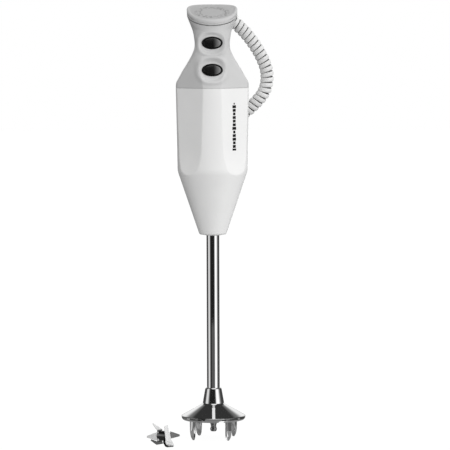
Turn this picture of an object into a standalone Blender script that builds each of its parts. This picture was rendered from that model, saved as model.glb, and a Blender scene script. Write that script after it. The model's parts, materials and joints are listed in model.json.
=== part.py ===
"""Stick mixer with a curly cord and a loose cross blade, standing on the four feet of its guard.

Everything hangs from one empty, "standing_plane", so heights here are measured up from the surface
that the feet stand on. The world origin is the middle of the drive pin's flat end, on the shaft's
axis. The buttons face -Y. All lengths are metres.
"""

import math

import bmesh
import bpy
from mathutils import Matrix, Vector

# Driving dimensions
PIN_END_HEIGHT = 0.0055
GAP = 0.0003
WALL = 0.0022

# Lower housing
HOUSING_BOTTOM = 0.1606
CONE_TOP = 0.2100
SEAM_HEIGHT = 0.2750
SEAM_RADIUS = 0.0285
CONE_TOP_RADIUS = 0.0274
NOSE_RADIUS = 0.0106
FLAT_SHARE = 0.862
FLAT_RUNOUT_START = 0.2300
FLAT_RUNOUT_RADIUS = 0.130
FLAT_RUNOUT_DEPTH = 0.0040

# Handle and cap
HANDLE_TOP = 0.3292
CAP_TOP = 0.3340
CAP_SLANT = math.radians(17)
CAP_HALF = 0.0198
CAP_FRONT = 0.0200
CAP_REAR = 0.0202
CAP_WIDEST = 0.0095
FACE_SLANT = math.radians(10)
FRONT_WALL = 0.0040
BUTTON_SPACING = 0.0212
BUTTON_MIDDLE_HEIGHT = 0.3000

# Shaft and guard
TUBE_RADIUS = 0.0050
TUBE_BORE = 0.0042
TUBE_BOTTOM = 0.0316
TUBE_TOP = 0.1760
SHAFT_RADIUS = 0.0025
HUB_TOP = 0.0400
BELL_RADIUS = 0.0250
FOOT_CIRCLE = 0.0200
FIRST_FOOT = math.radians(35.5)
FOOT_TOP = 0.0193

# Motor
ARMATURE_SHAFT_RADIUS = 0.0030
STACK_BOTTOM = 0.2180
STACK_TOP = 0.2460
STATOR_RADIUS = 0.0212
STATOR_BORE = 0.0120
BRUSH_HEIGHT = 0.2570

# Buttons
BUTTON_WIDTH = 0.0134
BUTTON_TALL = 0.0084
SEAL_WIDTH = 0.0164
SEAL_TALL = 0.0108

# Cord: a curly part, wound once round a ring behind the housing, and a straight tail to the plug
GLAND_RADIUS = 0.0042
CURL_RADIUS = 0.0054
LEAD_RADIUS = 0.0020
RING_RADIUS = 0.0190
RING_HEIGHT = 0.2600
RING_START_DEPTH = 0.0358
RING_PITCH = 0.0114
RING_START = math.radians(-45)
CURL_RING_TURN = math.radians(405)
TAIL_RING_TURN = math.radians(360)
TAIL_PITCH = 0.0070
GLAND_ROUTE = (
    (0.0085, 0.0140, 0.3275),
    (0.0087, 0.0190, 0.3277),
    (0.0095, 0.0238, 0.3284),
    (0.0119, 0.0279, 0.3293),
    (0.0154, 0.0302, 0.3286),
    (0.0163, 0.0304, 0.3277),
)
CORD_ROUTE = (
    (0.0172, 0.0306, 0.3267),
    (0.0268, 0.0325, 0.3169),
    (0.0341, 0.0333, 0.3071),
    (0.0395, 0.0338, 0.2975),
    (0.0428, 0.0340, 0.2880),
    (0.0430, 0.0341, 0.2786),
    (0.0398, 0.0343, 0.2691),
    (0.0307, 0.0347, 0.2590),
    (0.0222, 0.0352, 0.2528),
    (0.0176, 0.0355, 0.2497),
)
TAIL_ROUTE = (
    (-0.0008, 0.0560, 0.2400),
    (0.0000, 0.0550, 0.2360),
    (0.0000, 0.0550, 0.2326),
)

# Plug
PLUG_MIDDLE = (0.0, 0.0550)
PLUG_TOP = 0.2320
PLUG_LENGTH = 0.0330
PLUG_WIDTH = 0.0350
PLUG_THICK = 0.0137
PLUG_PIN_RADIUS = 0.0020
PLUG_PIN_LENGTH = 0.0180
PLUG_PIN_SPACING = 0.0186

# Loose blade
BLADE_PLACE = (-0.0388, -0.0440, 0.0093)
BLADE_TURN = math.radians(55)
BLADE_BARREL_RADIUS = 0.0039
BLADE_BORE = 0.0029
BLADE_SHEET = 0.0010


def clear_scene():
    for thing in list(bpy.data.objects):
        bpy.data.objects.remove(thing, do_unlink=True)


def new_collection(name):
    collection = bpy.data.collections.new(name)
    bpy.context.scene.collection.children.link(collection)
    return collection


def new_look(name, colour, roughness, metallic=0.0):
    look = bpy.data.materials.new(name)
    look.use_nodes = True
    shader = look.node_tree.nodes["Principled BSDF"]
    shader.inputs["Base Color"].default_value = (*colour, 1.0)
    shader.inputs["Roughness"].default_value = roughness
    shader.inputs["Metallic"].default_value = metallic
    look.diffuse_color = (*colour, 1.0)
    return look


clear_scene()
PARTS = new_collection("immersion_blender")
CUTTERS = new_collection("cutters")


def new_empty(name, parent=None, place=(0, 0, 0), turn=(0, 0, 0)):
    empty = bpy.data.objects.new(name, None)
    empty.empty_display_size = 0.01
    empty.location = place
    empty.rotation_euler = turn
    empty.parent = parent
    PARTS.objects.link(empty)
    return empty


STANDING_PLANE = new_empty("standing_plane", place=(0, 0, -PIN_END_HEIGHT))
FACE_SETBACK = (BUTTON_MIDDLE_HEIGHT - SEAM_HEIGHT) * math.tan(FACE_SLANT)
FACE_MIDDLE = (0, FACE_SETBACK - SEAM_RADIUS, BUTTON_MIDDLE_HEIGHT)
BUTTON_FACE = new_empty("button_face", STANDING_PLANE, FACE_MIDDLE, (-FACE_SLANT, 0, 0))


ON_Y = (math.pi / 2, 0, 0)


def new_part(name, data, look, place=(0, 0, 0), turn=(0, 0, 0), parent=STANDING_PLANE):
    part = bpy.data.objects.new(name, data)
    part.location = place
    part.rotation_euler = turn
    part.parent = parent
    data.materials.clear()
    data.materials.append(look)
    PARTS.objects.link(part)
    return part


def make_cutter(part):
    """Turns a part into a helper for a Boolean."""
    PARTS.objects.unlink(part)
    CUTTERS.objects.link(part)
    part.hide_render = True
    part.display_type = "WIRE"
    return part


def combine(part, helper, operation):
    make_cutter(helper)
    modifier = part.modifiers.new(f"{operation.lower()}_{helper.name}", "BOOLEAN")
    modifier.operation = operation
    modifier.object = helper
    return part


def cut(part, helper):
    return combine(part, helper, "DIFFERENCE")


def join(part, helper):
    return combine(part, helper, "UNION")


def smooth(mesh, angle=35):
    mesh.shade_smooth()
    mesh.set_sharp_from_angle(angle=math.radians(angle))


def new_mesh(name, points, faces):
    mesh = bpy.data.meshes.new(name)
    mesh.from_pydata(points, [], faces)
    shape = bmesh.new()
    shape.from_mesh(mesh)
    bmesh.ops.recalc_face_normals(shape, faces=shape.faces)
    shape.to_mesh(mesh)
    shape.free()
    smooth(mesh)
    return mesh


def turned(name, profile, look, steps=24, **placing):
    """A solid of revolution. The profile of (radius, height) runs down the outer side, top to bottom."""
    mesh = bpy.data.meshes.new(name)
    points = [(radius, 0, height) for radius, height in profile]
    edges = [(i, i + 1) for i in range(len(points) - 1)]
    if profile[0][0] > 0:
        edges.append((len(points) - 1, 0))
    mesh.from_pydata(points, edges, [])
    part = new_part(name, mesh, look, **placing)
    screw = part.modifiers.new("turn", "SCREW")
    screw.steps = steps
    screw.render_steps = steps
    screw.use_merge_vertices = True
    screw.merge_threshold = 0.00001
    screw.use_smooth_shade = True
    return part


def ring(name, outer, inner, bottom, top, look, steps=24, **placing):
    profile = [(outer, top), (outer, bottom), (inner, bottom), (inner, top)]
    return turned(name, profile, look, steps, **placing)


def disc(name, radius, bottom, top, look, steps=24, **placing):
    profile = [(0, top), (radius, top), (radius, bottom), (0, bottom)]
    return turned(name, profile, look, steps, **placing)


def box(name, size, look, bevel=0.0, **placing):
    mesh = bpy.data.meshes.new(name)
    shape = bmesh.new()
    bmesh.ops.create_cube(shape, size=1, matrix=Matrix.Diagonal((*size, 1)))
    shape.to_mesh(mesh)
    shape.free()
    part = new_part(name, mesh, look, **placing)
    if bevel:
        edge = part.modifiers.new("edges", "BEVEL")
        edge.width = bevel
        edge.segments = 1
    return part


def pipe(name, points, radius, look, resolution=2, radii=None, **placing):
    """A round wire or tube along a line of points, with filled ends."""
    curve = bpy.data.curves.new(name, "CURVE")
    curve.dimensions = "3D"
    curve.bevel_depth = radius
    curve.bevel_resolution = resolution
    curve.use_fill_caps = True
    spline = curve.splines.new("POLY")
    spline.points.add(len(points) - 1)
    for i, point in enumerate(points):
        spline.points[i].co = (*point, 1)
        spline.points[i].radius = radii[i] if radii else 1.0
    return new_part(name, curve, look, **placing)


def as_mesh(part):
    """A curve made a mesh, so that a Boolean can use it."""
    graph = bpy.context.evaluated_depsgraph_get()
    mesh = bpy.data.meshes.new_from_object(part.evaluated_get(graph))
    shape = bmesh.new()
    shape.from_mesh(mesh)
    bmesh.ops.remove_doubles(shape, verts=shape.verts, dist=0.000001)
    bmesh.ops.recalc_face_normals(shape, faces=shape.faces)
    shape.to_mesh(mesh)
    shape.free()
    name = part.name
    solid = bpy.data.objects.new(name + "_solid", mesh)
    solid.parent = part.parent
    solid.location = part.location
    solid.rotation_euler = part.rotation_euler
    PARTS.objects.link(solid)
    bpy.data.objects.remove(part)
    solid.name = name
    return solid


def plate(name, outline, thickness, look, **placing):
    """A flat outline extruded evenly to both sides of its own XY plane, as a mesh."""
    curve = bpy.data.curves.new(name, "CURVE")
    curve.dimensions = "2D"
    curve.fill_mode = "BOTH"
    curve.extrude = thickness / 2
    spline = curve.splines.new("POLY")
    spline.points.add(len(outline) - 1)
    for i, (x, y) in enumerate(outline):
        spline.points[i].co = (x, y, 0, 1)
    spline.use_cyclic_u = True
    return as_mesh(new_part(name, curve, look, **placing))


def loft(name, rings, look, **placing):
    """A skin through rings of equally many points, closed by a face at each end."""
    count = len(rings[0])
    points = [point for one in rings for point in one]
    faces = [list(range(count)), list(range((len(rings) - 1) * count, len(rings) * count))]
    for level in range(len(rings) - 1):
        for i in range(count):
            j = (i + 1) % count
            low = level * count
            high = low + count
            faces.append((low + i, low + j, high + j, high + i))
    return new_part(name, new_mesh(name, points, faces), look, **placing)


def arc(radius, start, end, steps, middle=(0, 0)):
    """Points on an arc, both ends included."""
    turn = [start + (end - start) * i / steps for i in range(steps + 1)]
    return [(middle[0] + radius * math.cos(a), middle[1] + radius * math.sin(a)) for a in turn]


def blend(low, high, value):
    """0 below low, 1 above high, and an even rise between."""
    share = min(max((value - low) / (high - low), 0), 1)
    return share * share * (3 - 2 * share)


def read_table(table, level):
    """A value read from (level, value) rows, in a straight line between two rows."""
    for (low, first), (high, last) in zip(table, table[1:]):
        if level <= high:
            return first + (last - first) * min(max((level - low) / (high - low), 0), 1)
    return table[-1][1]


def curve_through(points, step):
    """Evenly placed points on a smooth curve through the given ones."""
    route = [Vector(point) for point in points]
    route = [2 * route[0] - route[1], *route, 2 * route[-1] - route[-2]]
    fine = []
    for a, b, c, d in zip(route, route[1:], route[2:], route[3:]):
        for i in range(16):
            t = i / 16
            fine.append(
                0.5
                * (2 * b + (c - a) * t + (2 * a - 5 * b + 4 * c - d) * t**2 + (3 * b - a - 3 * c + d) * t**3)
            )
    fine.append(route[-2])
    total = sum((b - a).length for a, b in zip(fine, fine[1:]))
    count = max(2, round(total / step))
    spaced = [fine[0]]
    walked = 0.0
    for a, b in zip(fine, fine[1:]):
        length = (b - a).length
        while len(spaced) < count and walked + length >= len(spaced) * total / count:
            spaced.append(a.lerp(b, (len(spaced) * total / count - walked) / length))
        walked += length
    spaced.append(fine[-1])
    return spaced


def superellipse(angle, power):
    """Distance to a unit superellipse in a direction."""
    return (abs(math.cos(angle)) ** power + abs(math.sin(angle)) ** power) ** (-1 / power)


GREY_SHELL = new_look("grey_shell", (0.50, 0.50, 0.50), 0.38)
PALE_SHELL = new_look("pale_shell", (0.80, 0.80, 0.79), 0.30)
BLACK_RUBBER = new_look("black_rubber", (0.012, 0.012, 0.012), 0.50)
BUTTON_LOOK = new_look("button_plastic", (0.025, 0.025, 0.027), 0.35)
CHROME = new_look("chrome", (0.80, 0.80, 0.80), 0.08, 1.0)
BLADE_STEEL = new_look("blade_steel", (0.72, 0.72, 0.72), 0.18, 1.0)
DARK_STEEL = new_look("shaft_steel", (0.45, 0.45, 0.46), 0.30, 1.0)
LAMINATION = new_look("lamination_steel", (0.30, 0.30, 0.31), 0.45, 1.0)
COPPER = new_look("copper_winding", (0.72, 0.30, 0.12), 0.35, 1.0)
BRONZE = new_look("bronze_bush", (0.55, 0.38, 0.16), 0.45, 1.0)
BRASS = new_look("brass_fitting", (0.72, 0.55, 0.22), 0.35, 1.0)
CARBON = new_look("carbon", (0.03, 0.03, 0.03), 0.60)
INNER_PLASTIC = new_look("inner_plastic", (0.10, 0.10, 0.11), 0.50)
WHITE_PLASTIC = new_look("white_plastic", (0.75, 0.75, 0.73), 0.40)
CORD_LOOK = new_look("cord_sheath", (0.78, 0.78, 0.77), 0.42)
TIE_LOOK = new_look("cord_tie", (0.06, 0.06, 0.06), 0.80)
SPRING_STEEL = new_look("spring_steel", (0.60, 0.60, 0.60), 0.30, 1.0)


# Lower housing: a turned form with four flats that run out near its foot


def housing_profile(inset):
    """The housing's turned outline, moved in by inset."""
    cone = (CONE_TOP_RADIUS - NOSE_RADIUS) / (CONE_TOP - HOUSING_BOTTOM - 0.0008)
    foot = HOUSING_BOTTOM + (0.0008 if not inset else WALL)
    bottom = HOUSING_BOTTOM + inset
    top = SEAM_HEIGHT + (0.002 if inset else 0)
    shoulder = [
        (CONE_TOP_RADIUS - inset, CONE_TOP + 0.0035),
        (CONE_TOP_RADIUS - inset - 0.0004, CONE_TOP + 0.0008),
        (CONE_TOP_RADIUS - inset - 0.0013, CONE_TOP - 0.0028),
    ]
    nose = NOSE_RADIUS + (foot - HOUSING_BOTTOM) * cone - inset
    return [
        (0, top),
        (SEAM_RADIUS - inset, top),
        *shoulder,
        (nose, foot),
        (nose - 0.0008, bottom),
        (0, bottom),
    ]


def flat_outline(inset):
    """What one flat takes away, seen along the flat: (distance from the axis, height)."""
    top = SEAM_HEIGHT + 0.004
    near = SEAM_RADIUS * FLAT_SHARE - inset
    far = near + SEAM_RADIUS
    sweep = math.acos(1 - FLAT_RUNOUT_DEPTH / FLAT_RUNOUT_RADIUS)
    middle = (near + FLAT_RUNOUT_RADIUS, FLAT_RUNOUT_START)
    curve = arc(FLAT_RUNOUT_RADIUS, math.pi, math.pi + sweep, 8, middle)
    return [(near, top), *curve, (far, curve[-1][1]), (far, top)]


def cut_flats(part, inset):
    for i in range(4):
        tool = plate(
            f"{part.name}_flat_{i}",
            flat_outline(inset),
            0.07,
            PALE_SHELL,
            turn=(math.pi / 2, 0, math.radians(45 + 90 * i)),
        )
        cut(part, tool)


def make_housing():
    housing = turned("motor_housing", housing_profile(0), PALE_SHELL, 56)
    cut_flats(housing, 0)
    hollow = turned("housing_hollow", housing_profile(WALL), PALE_SHELL, 32)
    cut_flats(hollow, WALL)
    cut(housing, hollow)
    cut(housing, disc("nose_hole", TUBE_RADIUS + 2 * GAP, 0.150, 0.170, PALE_SHELL, 24))


# Handle: lofted from the housing's four flats, through a waist, to a slanted D


HALF_WIDTHS = (
    (0.2753, 0.0285),
    (0.2785, 0.0284),
    (0.2805, 0.0275),
    (0.2857, 0.0246),
    (0.2920, 0.0208),
    (0.2980, 0.0173),
    (0.3015, 0.0155),
    (0.3045, 0.0143),
    (0.3076, 0.0136),
    (0.3107, 0.0136),
    (0.3138, 0.0140),
    (0.3170, 0.0145),
    (0.3200, 0.0152),
    (0.3245, 0.0168),
    (0.3292, 0.0187),
)
REAR_DEPTHS = (
    (0.2753, 0.0285),
    (0.2785, 0.0284),
    (0.2805, 0.0278),
    (0.2920, 0.0228),
    (0.3015, 0.0180),
    (0.3076, 0.0160),
    (0.3138, 0.0158),
    (0.3200, 0.0166),
    (0.3292, 0.0190),
)


def front_depth(level):
    return SEAM_RADIUS - (level - SEAM_HEIGHT) * math.tan(FACE_SLANT)


def handle_ring(level, inset, front_inset, count):
    """One section of the handle, tipped gradually to the cap's slant near the top."""
    half = read_table(HALF_WIDTHS, level) - inset
    front = front_depth(level) - front_inset
    rear = read_table(REAR_DEPTHS, level) - inset
    flats = 1 - blend(0.280, 0.294, level)
    tip = blend(0.312, HANDLE_TOP, level)
    widest = CAP_WIDEST * tip
    points = []
    for i in range(count):
        angle = 2 * math.pi * (i + 0.5) / count
        to_corner = abs((angle % (math.pi / 2)) - math.pi / 4)
        flatted = min(1, FLAT_SHARE / math.cos(to_corner))
        ahead = math.sin(angle) < 0
        power = 5.0 - 2.9 * tip if ahead else 2.5 + 0.6 * tip
        reach = flats * flatted + (1 - flats) * superellipse(angle, power)
        x = half * reach * math.cos(angle)
        depth = front + widest if ahead else rear - widest
        y = widest + depth * reach * math.sin(angle)
        points.append((x, y, level + tip * y * math.tan(CAP_SLANT)))
    return points


OUTER_LEVELS = [level for level, _ in HALF_WIDTHS]
INNER_LEVELS = [OUTER_LEVELS[0] - 0.003, *OUTER_LEVELS[1:-1:2], HANDLE_TOP, HANDLE_TOP + 0.003]


def oval(half_width, half_height, depth, count=24):
    """An oval ring in the button face's own frame."""
    turn = [2 * math.pi * i / count for i in range(count)]
    return [(half_width * math.cos(a), depth, half_height * math.sin(a)) for a in turn]


def oval_prism(name, width, tall, front, back, look, offset, count=24):
    rings = [oval(width / 2, tall / 2, depth, count) for depth in (front, back)]
    return loft(name, rings, look, place=(0, 0, offset), parent=BUTTON_FACE)


def dish_tool(name, offset):
    """A shallow oval bowl that sinks each button's seat."""
    mesh = bpy.data.meshes.new(name)
    shape = bmesh.new()
    bmesh.ops.create_uvsphere(
        shape, u_segments=28, v_segments=20, radius=0.0386, matrix=Matrix.Diagonal((1, 1, 0.84, 1))
    )
    shape.to_mesh(mesh)
    shape.free()
    return new_part(name, mesh, GREY_SHELL, place=(0, -0.0386 + 0.0015, offset), parent=BUTTON_FACE)


def make_handle():
    handle = loft("handle_shell", [handle_ring(z, 0, 0, 44) for z in OUTER_LEVELS], GREY_SHELL)
    hollow = [handle_ring(z, WALL, FRONT_WALL, 28) for z in INNER_LEVELS]
    cut(handle, loft("handle_hollow", hollow, GREY_SHELL))
    for side, offset in (("upper", BUTTON_SPACING / 2), ("lower", -BUTTON_SPACING / 2)):
        cut(handle, dish_tool(f"dish_{side}", offset))
        hole = (SEAL_WIDTH + 2 * GAP, SEAL_TALL + 2 * GAP, -0.004, 0.009)
        cut(handle, oval_prism(f"hole_{side}", *hole, GREY_SHELL, offset))
    bore = GLAND_RADIUS + 2 * GAP
    cut(handle, disc("gland_hole", bore, -0.0080, 0.0080, GREY_SHELL, 20, place=GLAND_ROUTE[1], turn=ON_Y))


def cap_ring(lift, inset, count=44):
    """A section of the cap, parallel to the slanted seam."""
    points = []
    for i in range(count):
        angle = 2 * math.pi * (i + 0.5) / count
        ahead = math.sin(angle) < 0
        reach = superellipse(angle, 2.1 if ahead else 3.1)
        x = (CAP_HALF - inset) * reach * math.cos(angle)
        depth = CAP_FRONT + CAP_WIDEST if ahead else CAP_REAR - CAP_WIDEST
        y = CAP_WIDEST + (depth - inset) * reach * math.sin(angle)
        points.append((x, y, HANDLE_TOP + GAP + lift + y * math.tan(CAP_SLANT)))
    return points


def make_cap():
    thick = CAP_TOP - HANDLE_TOP - GAP
    sections = ((0, 0.0009), (0.0008, 0.0001), (0.0022, 0), (thick - 0.0014, 0.0003))
    rounding = ((thick - 0.0005, 0.0010), (thick, 0.0024), (thick - 0.0003, 0.0034))
    loft("top_cap", [cap_ring(lift, inset) for lift, inset in sections + rounding], GREY_SHELL)


def make_joint_ring():
    ring("joint_ring", 0.0206, 0.0184, 0.2680, 0.2805, INNER_PLASTIC, 32)


# Buttons, their seals, springs and switches, all in the slanted frame of the button face


def face_box(name, size, look, depth, offset):
    """A box behind the button face."""
    return box(name, size, look, place=(0, depth, offset), parent=BUTTON_FACE)


def make_button(side, offset):
    half_width = BUTTON_WIDTH / 2
    half_tall = BUTTON_TALL / 2
    rings = [
        oval(half_width - 0.0022, half_tall - 0.0019, 0.0001, 20),
        oval(half_width - 0.0006, half_tall - 0.0005, 0.0005, 20),
        oval(half_width, half_tall, 0.0012, 20),
        oval(half_width, half_tall, 0.0042, 20),
        oval(half_width + 0.0010, half_tall + 0.0010, 0.0043, 20),
        oval(half_width + 0.0010, half_tall + 0.0010, 0.0054, 20),
        oval(0.0015, 0.0015, 0.0055, 20),
        oval(0.0015, 0.0015, 0.0095, 20),
    ]
    loft(f"button_{side}", rings, BUTTON_LOOK, place=(0, 0, offset), parent=BUTTON_FACE)

    seal = oval_prism(f"button_seal_{side}", SEAL_WIDTH, SEAL_TALL, 0.0010, 0.0039, BLACK_RUBBER, offset)
    bore = (BUTTON_WIDTH + 2 * GAP, BUTTON_TALL + 2 * GAP, -0.002, 0.006)
    cut(seal, oval_prism(f"seal_bore_{side}", *bore, BLACK_RUBBER, offset))

    turns = 3.5
    count = 22
    coil = []
    for i in range(count + 1):
        angle = 2 * math.pi * turns * i / count
        depth = 0.0061 + 0.0048 * i / count
        coil.append((0.0030 * math.cos(angle), depth, 0.0030 * math.sin(angle)))
    pipe(f"button_spring_{side}", coil, 0.0003, SPRING_STEEL, 1, place=(0, 0, offset), parent=BUTTON_FACE)

    face_box(f"switch_plunger_{side}", (0.0028, 0.0042, 0.0028), WHITE_PLASTIC, 0.0119, offset)
    switch = face_box(f"switch_{side}", (0.0120, 0.0079, 0.0150), INNER_PLASTIC, 0.01565, offset)
    cut(switch, face_box(f"socket_{side}", (0.0034, 0.0080, 0.0034), INNER_PLASTIC, 0.0145, offset))


LEAD_ROUTE = (
    (0.0090, 0.0080, 0.3108),
    (0.0096, 0.0082, 0.3000),
    (0.0115, 0.0078, 0.2850),
    (0.0130, 0.0060, 0.2674),
)


def make_switching():
    for side, offset in (("upper", BUTTON_SPACING / 2), ("lower", -BUTTON_SPACING / 2)):
        make_button(side, offset)
    face_box("switch_carrier", (0.0170, 0.0020, 0.0400), INNER_PLASTIC, 0.0209, 0)
    box("noise_capacitor", (0.0130, 0.0070, 0.0160), BRASS, 0.0006, place=(0, 0.0066, 0.3010))
    disc("speed_diode", 0.0015, -0.0040, 0.0040, CARBON, 12, place=(0, 0.0050, 0.2860))
    box("terminal_block", (0.0160, 0.0070, 0.0060), WHITE_PLASTIC, 0.0004, place=(0, 0.0066, 0.3140))
    for side, sign in (("left", -1), ("right", 1)):
        points = curve_through([(sign * x, y, z) for x, y, z in LEAD_ROUTE], 0.004)
        pipe(f"lead_wire_{side}", points, 0.0008, WHITE_PLASTIC, 1)


# Drive shaft, tube and guard


def make_shaft():
    tip = PIN_END_HEIGHT
    profile = [
        (0, 0.1900),
        (SHAFT_RADIUS, 0.1900),
        (SHAFT_RADIUS, 0.0145),
        (0.00268, 0.0130),
        (0.00262, 0.0118),
        (0.00228, 0.0107),
        (0.00215, 0.0095),
        (0.00228, 0.0086),
        (0.00255, 0.0079),
        (0.00266, 0.0072),
        (0.00258, 0.0064),
        (0.00215, tip + 0.0003),
        (0.00175, tip),
        (0, tip),
    ]
    turned("drive_shaft", profile, DARK_STEEL, 20)
    disc("armature_shaft", ARMATURE_SHAFT_RADIUS, 0.1905, 0.2710, DARK_STEEL, 20)
    coupling = disc("shaft_coupling", 0.0062, 0.1840, 0.2010, BRASS, 20)
    cut(coupling, disc("coupling_low_bore", SHAFT_RADIUS + GAP, 0.1800, 0.1903, BRASS, 20))
    cut(coupling, disc("coupling_high_bore", ARMATURE_SHAFT_RADIUS + GAP, 0.1902, 0.2050, BRASS, 20))


def make_tube():
    ring("shaft_tube", TUBE_RADIUS, TUBE_BORE, TUBE_BOTTOM, TUBE_TOP, CHROME, 32)
    ring("tube_collar", 0.0076, TUBE_RADIUS + GAP, 0.1655, 0.1755, BRASS, 24)
    ring("upper_bush", TUBE_BORE - GAP, SHAFT_RADIUS + GAP, 0.1660, 0.1755, BRONZE, 20)
    ring("lower_bush", 0.0047, SHAFT_RADIUS + GAP, 0.0248, 0.0312, BRONZE, 20)
    ring("shaft_seal", 0.0047, SHAFT_RADIUS + GAP, 0.0205, 0.0244, BLACK_RUBBER, 20)


def foot_section(tall, outer, inner, half_width):
    """A rounded bar section of a foot at one height: outer and inner are distances from the axis."""
    edge = min(0.0006, half_width / 2)
    return [
        (outer, -half_width + edge, tall),
        (outer, half_width - edge, tall),
        (outer - edge, half_width, tall),
        (inner + 0.0003, half_width, tall),
        (inner, half_width - 0.0003, tall),
        (inner, -half_width + 0.0003, tall),
        (inner + 0.0003, -half_width, tall),
        (outer - edge, -half_width, tall),
    ]


def make_guard():
    hub = 0.0083
    profile = [
        (0.0060, HUB_TOP),
        (0.0064, HUB_TOP - 0.0006),
        (hub, 0.0284),
        (0.0093, 0.0270),
        (0.0160, 0.0232),
        (0.0236, 0.0189),
        (BELL_RADIUS, 0.0180),
        (BELL_RADIUS, 0.0170),
        (0.0236, 0.0157),
        (0.0222, 0.0173),
        (0.0095, 0.0240),
        (0.0068, 0.0240),
        (0.0066, 0.0200),
        (0.0050, 0.0200),
        (0.0050, 0.0314),
        (TUBE_RADIUS + GAP, 0.0314),
        (TUBE_RADIUS + GAP, HUB_TOP),
    ]
    guard = turned("blade_guard", profile, CHROME, 40)
    middle = FOOT_CIRCLE
    for i in range(4):
        sections = [
            foot_section(FOOT_TOP, middle + 0.0009, middle - 0.0009, 0.0026),
            foot_section(0.0130, middle + 0.0009, middle - 0.0009, 0.0025),
            foot_section(0.0060, middle + 0.0008, middle - 0.0009, 0.0024),
            foot_section(0.0030, middle + 0.0004, middle - 0.0009, 0.0021),
            foot_section(0.0011, middle - 0.0001, middle - 0.0009, 0.0016),
            foot_section(0.0000, middle - 0.0003, middle - 0.0009, 0.0009),
        ]
        join(guard, loft(f"guard_foot_{i}", sections, CHROME, turn=(0, 0, FIRST_FOOT + i * math.pi / 2)))


# Motor


def sector(outer, inner, start, end, steps):
    outline = arc(outer, math.radians(start), math.radians(end), steps)
    return outline + arc(inner, math.radians(end), math.radians(start), steps)


SCREW_PROFILE = [
    (0, 0.2520),
    (0.0012, 0.2520),
    (0.0012, 0.2152),
    (0.0022, 0.2152),
    (0.0022, 0.2136),
    (0, 0.2136),
]


def make_stator():
    middle = (STACK_BOTTOM + STACK_TOP) / 2
    tall = STACK_TOP - STACK_BOTTOM
    stator = ring("stator_core", STATOR_RADIUS, STATOR_BORE, STACK_BOTTOM, STACK_TOP, LAMINATION, 28)
    for side, start in (("right", -34), ("left", 146)):
        window = sector(0.0175, 0.0100, start, start + 68, 8)
        cut(stator, plate(f"window_{side}", window, 0.05, LAMINATION, place=(0, 0, middle)))
    for side, sign in (("left", -1), ("right", 1)):
        place = (sign * 0.0192, 0, 0)
        cut(stator, disc(f"screw_hole_{side}", 0.0012 + GAP, 0.210, 0.255, LAMINATION, 16, place=place))
        turned(f"stator_screw_{side}", SCREW_PROFILE, DARK_STEEL, 12, place=place)
    for side, facing in (("front", -90), ("rear", 90)):
        coil = plate(
            f"field_coil_{side}",
            sector(0.0170, 0.0126, facing - 82, facing + 82, 16),
            tall + 0.0070,
            COPPER,
            place=(0, 0, middle),
        )
        opening = sector(0.0190, 0.0110, facing - 58, facing + 58, 14)
        cut(coil, plate(f"coil_opening_{side}", opening, tall + 0.0010, COPPER, place=(0, 0, middle)))


def make_rotor():
    bore = ARMATURE_SHAFT_RADIUS + GAP
    ring("armature_core", 0.0115, bore, STACK_BOTTOM, STACK_TOP, LAMINATION, 32)
    ring("armature_winding_lower", 0.0102, bore, 0.2128, STACK_BOTTOM - GAP, COPPER, 24)
    ring("armature_winding_upper", 0.0102, bore, STACK_TOP + GAP, 0.2508, COPPER, 24)
    ring("commutator", 0.0070, bore, 0.2520, 0.2620, BRASS, 24)


def make_brackets():
    lower = [
        (0.0210, 0.2115),
        (0.0210, 0.2085),
        (0.0100, 0.2085),
        (0.0100, 0.2020),
        (0.0083, 0.2020),
        (0.0083, 0.2085),
        (0.0060, 0.2085),
        (0.0060, 0.2115),
    ]
    turned("lower_bracket", lower, INNER_PLASTIC, 24)
    ring("lower_bearing", 0.0080, ARMATURE_SHAFT_RADIUS + GAP, 0.2030, 0.2080, BRONZE, 24)
    upper = [
        (0.0210, 0.2664),
        (0.0210, 0.2626),
        (0.0060, 0.2626),
        (0.0060, 0.2640),
        (0.0078, 0.2640),
        (0.0078, 0.2705),
        (0.0098, 0.2705),
        (0.0098, 0.2664),
    ]
    turned("upper_bracket", upper, INNER_PLASTIC, 24)
    ring("upper_bearing", 0.0075, ARMATURE_SHAFT_RADIUS + GAP, 0.2643, 0.2693, BRONZE, 24)


def make_brush(side, sign):
    holder_place = (sign * 0.0140, 0, BRUSH_HEIGHT)
    holder = box(f"brush_holder_{side}", (0.0120, 0.0080, 0.0090), BRASS, place=holder_place)
    slot_place = (sign * 0.0130, 0, BRUSH_HEIGHT)
    cut(holder, box(f"brush_slot_{side}", (0.0126, 0.0056, 0.0066), BRASS, place=slot_place))
    box(f"carbon_brush_{side}", (0.0072, 0.0050, 0.0060), CARBON, place=(sign * 0.0109, 0, BRUSH_HEIGHT))
    count = 14
    coil = []
    for i in range(count + 1):
        angle = 2 * math.pi * 2.5 * i / count
        x = sign * (0.0151 + 0.0036 * i / count)
        coil.append((x, 0.0018 * math.cos(angle), BRUSH_HEIGHT + 0.0018 * math.sin(angle)))
    pipe(f"brush_spring_{side}", coil, 0.0003, SPRING_STEEL, 1)


def make_motor():
    make_stator()
    make_rotor()
    make_brackets()
    for side, sign in (("left", -1), ("right", 1)):
        make_brush(side, sign)


# Cord, its gland, tie and plug


def ring_point(turned_by):
    """A point on the ring that the cord is wound round, clockwise from RING_START as seen from the front."""
    angle = RING_START - turned_by
    curled = min(turned_by, CURL_RING_TURN)
    depth = RING_START_DEPTH + RING_PITCH * curled / (2 * math.pi)
    depth += TAIL_PITCH * (turned_by - curled) / (2 * math.pi)
    return (RING_RADIUS * math.cos(angle), depth, RING_HEIGHT + RING_RADIUS * math.sin(angle))


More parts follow.
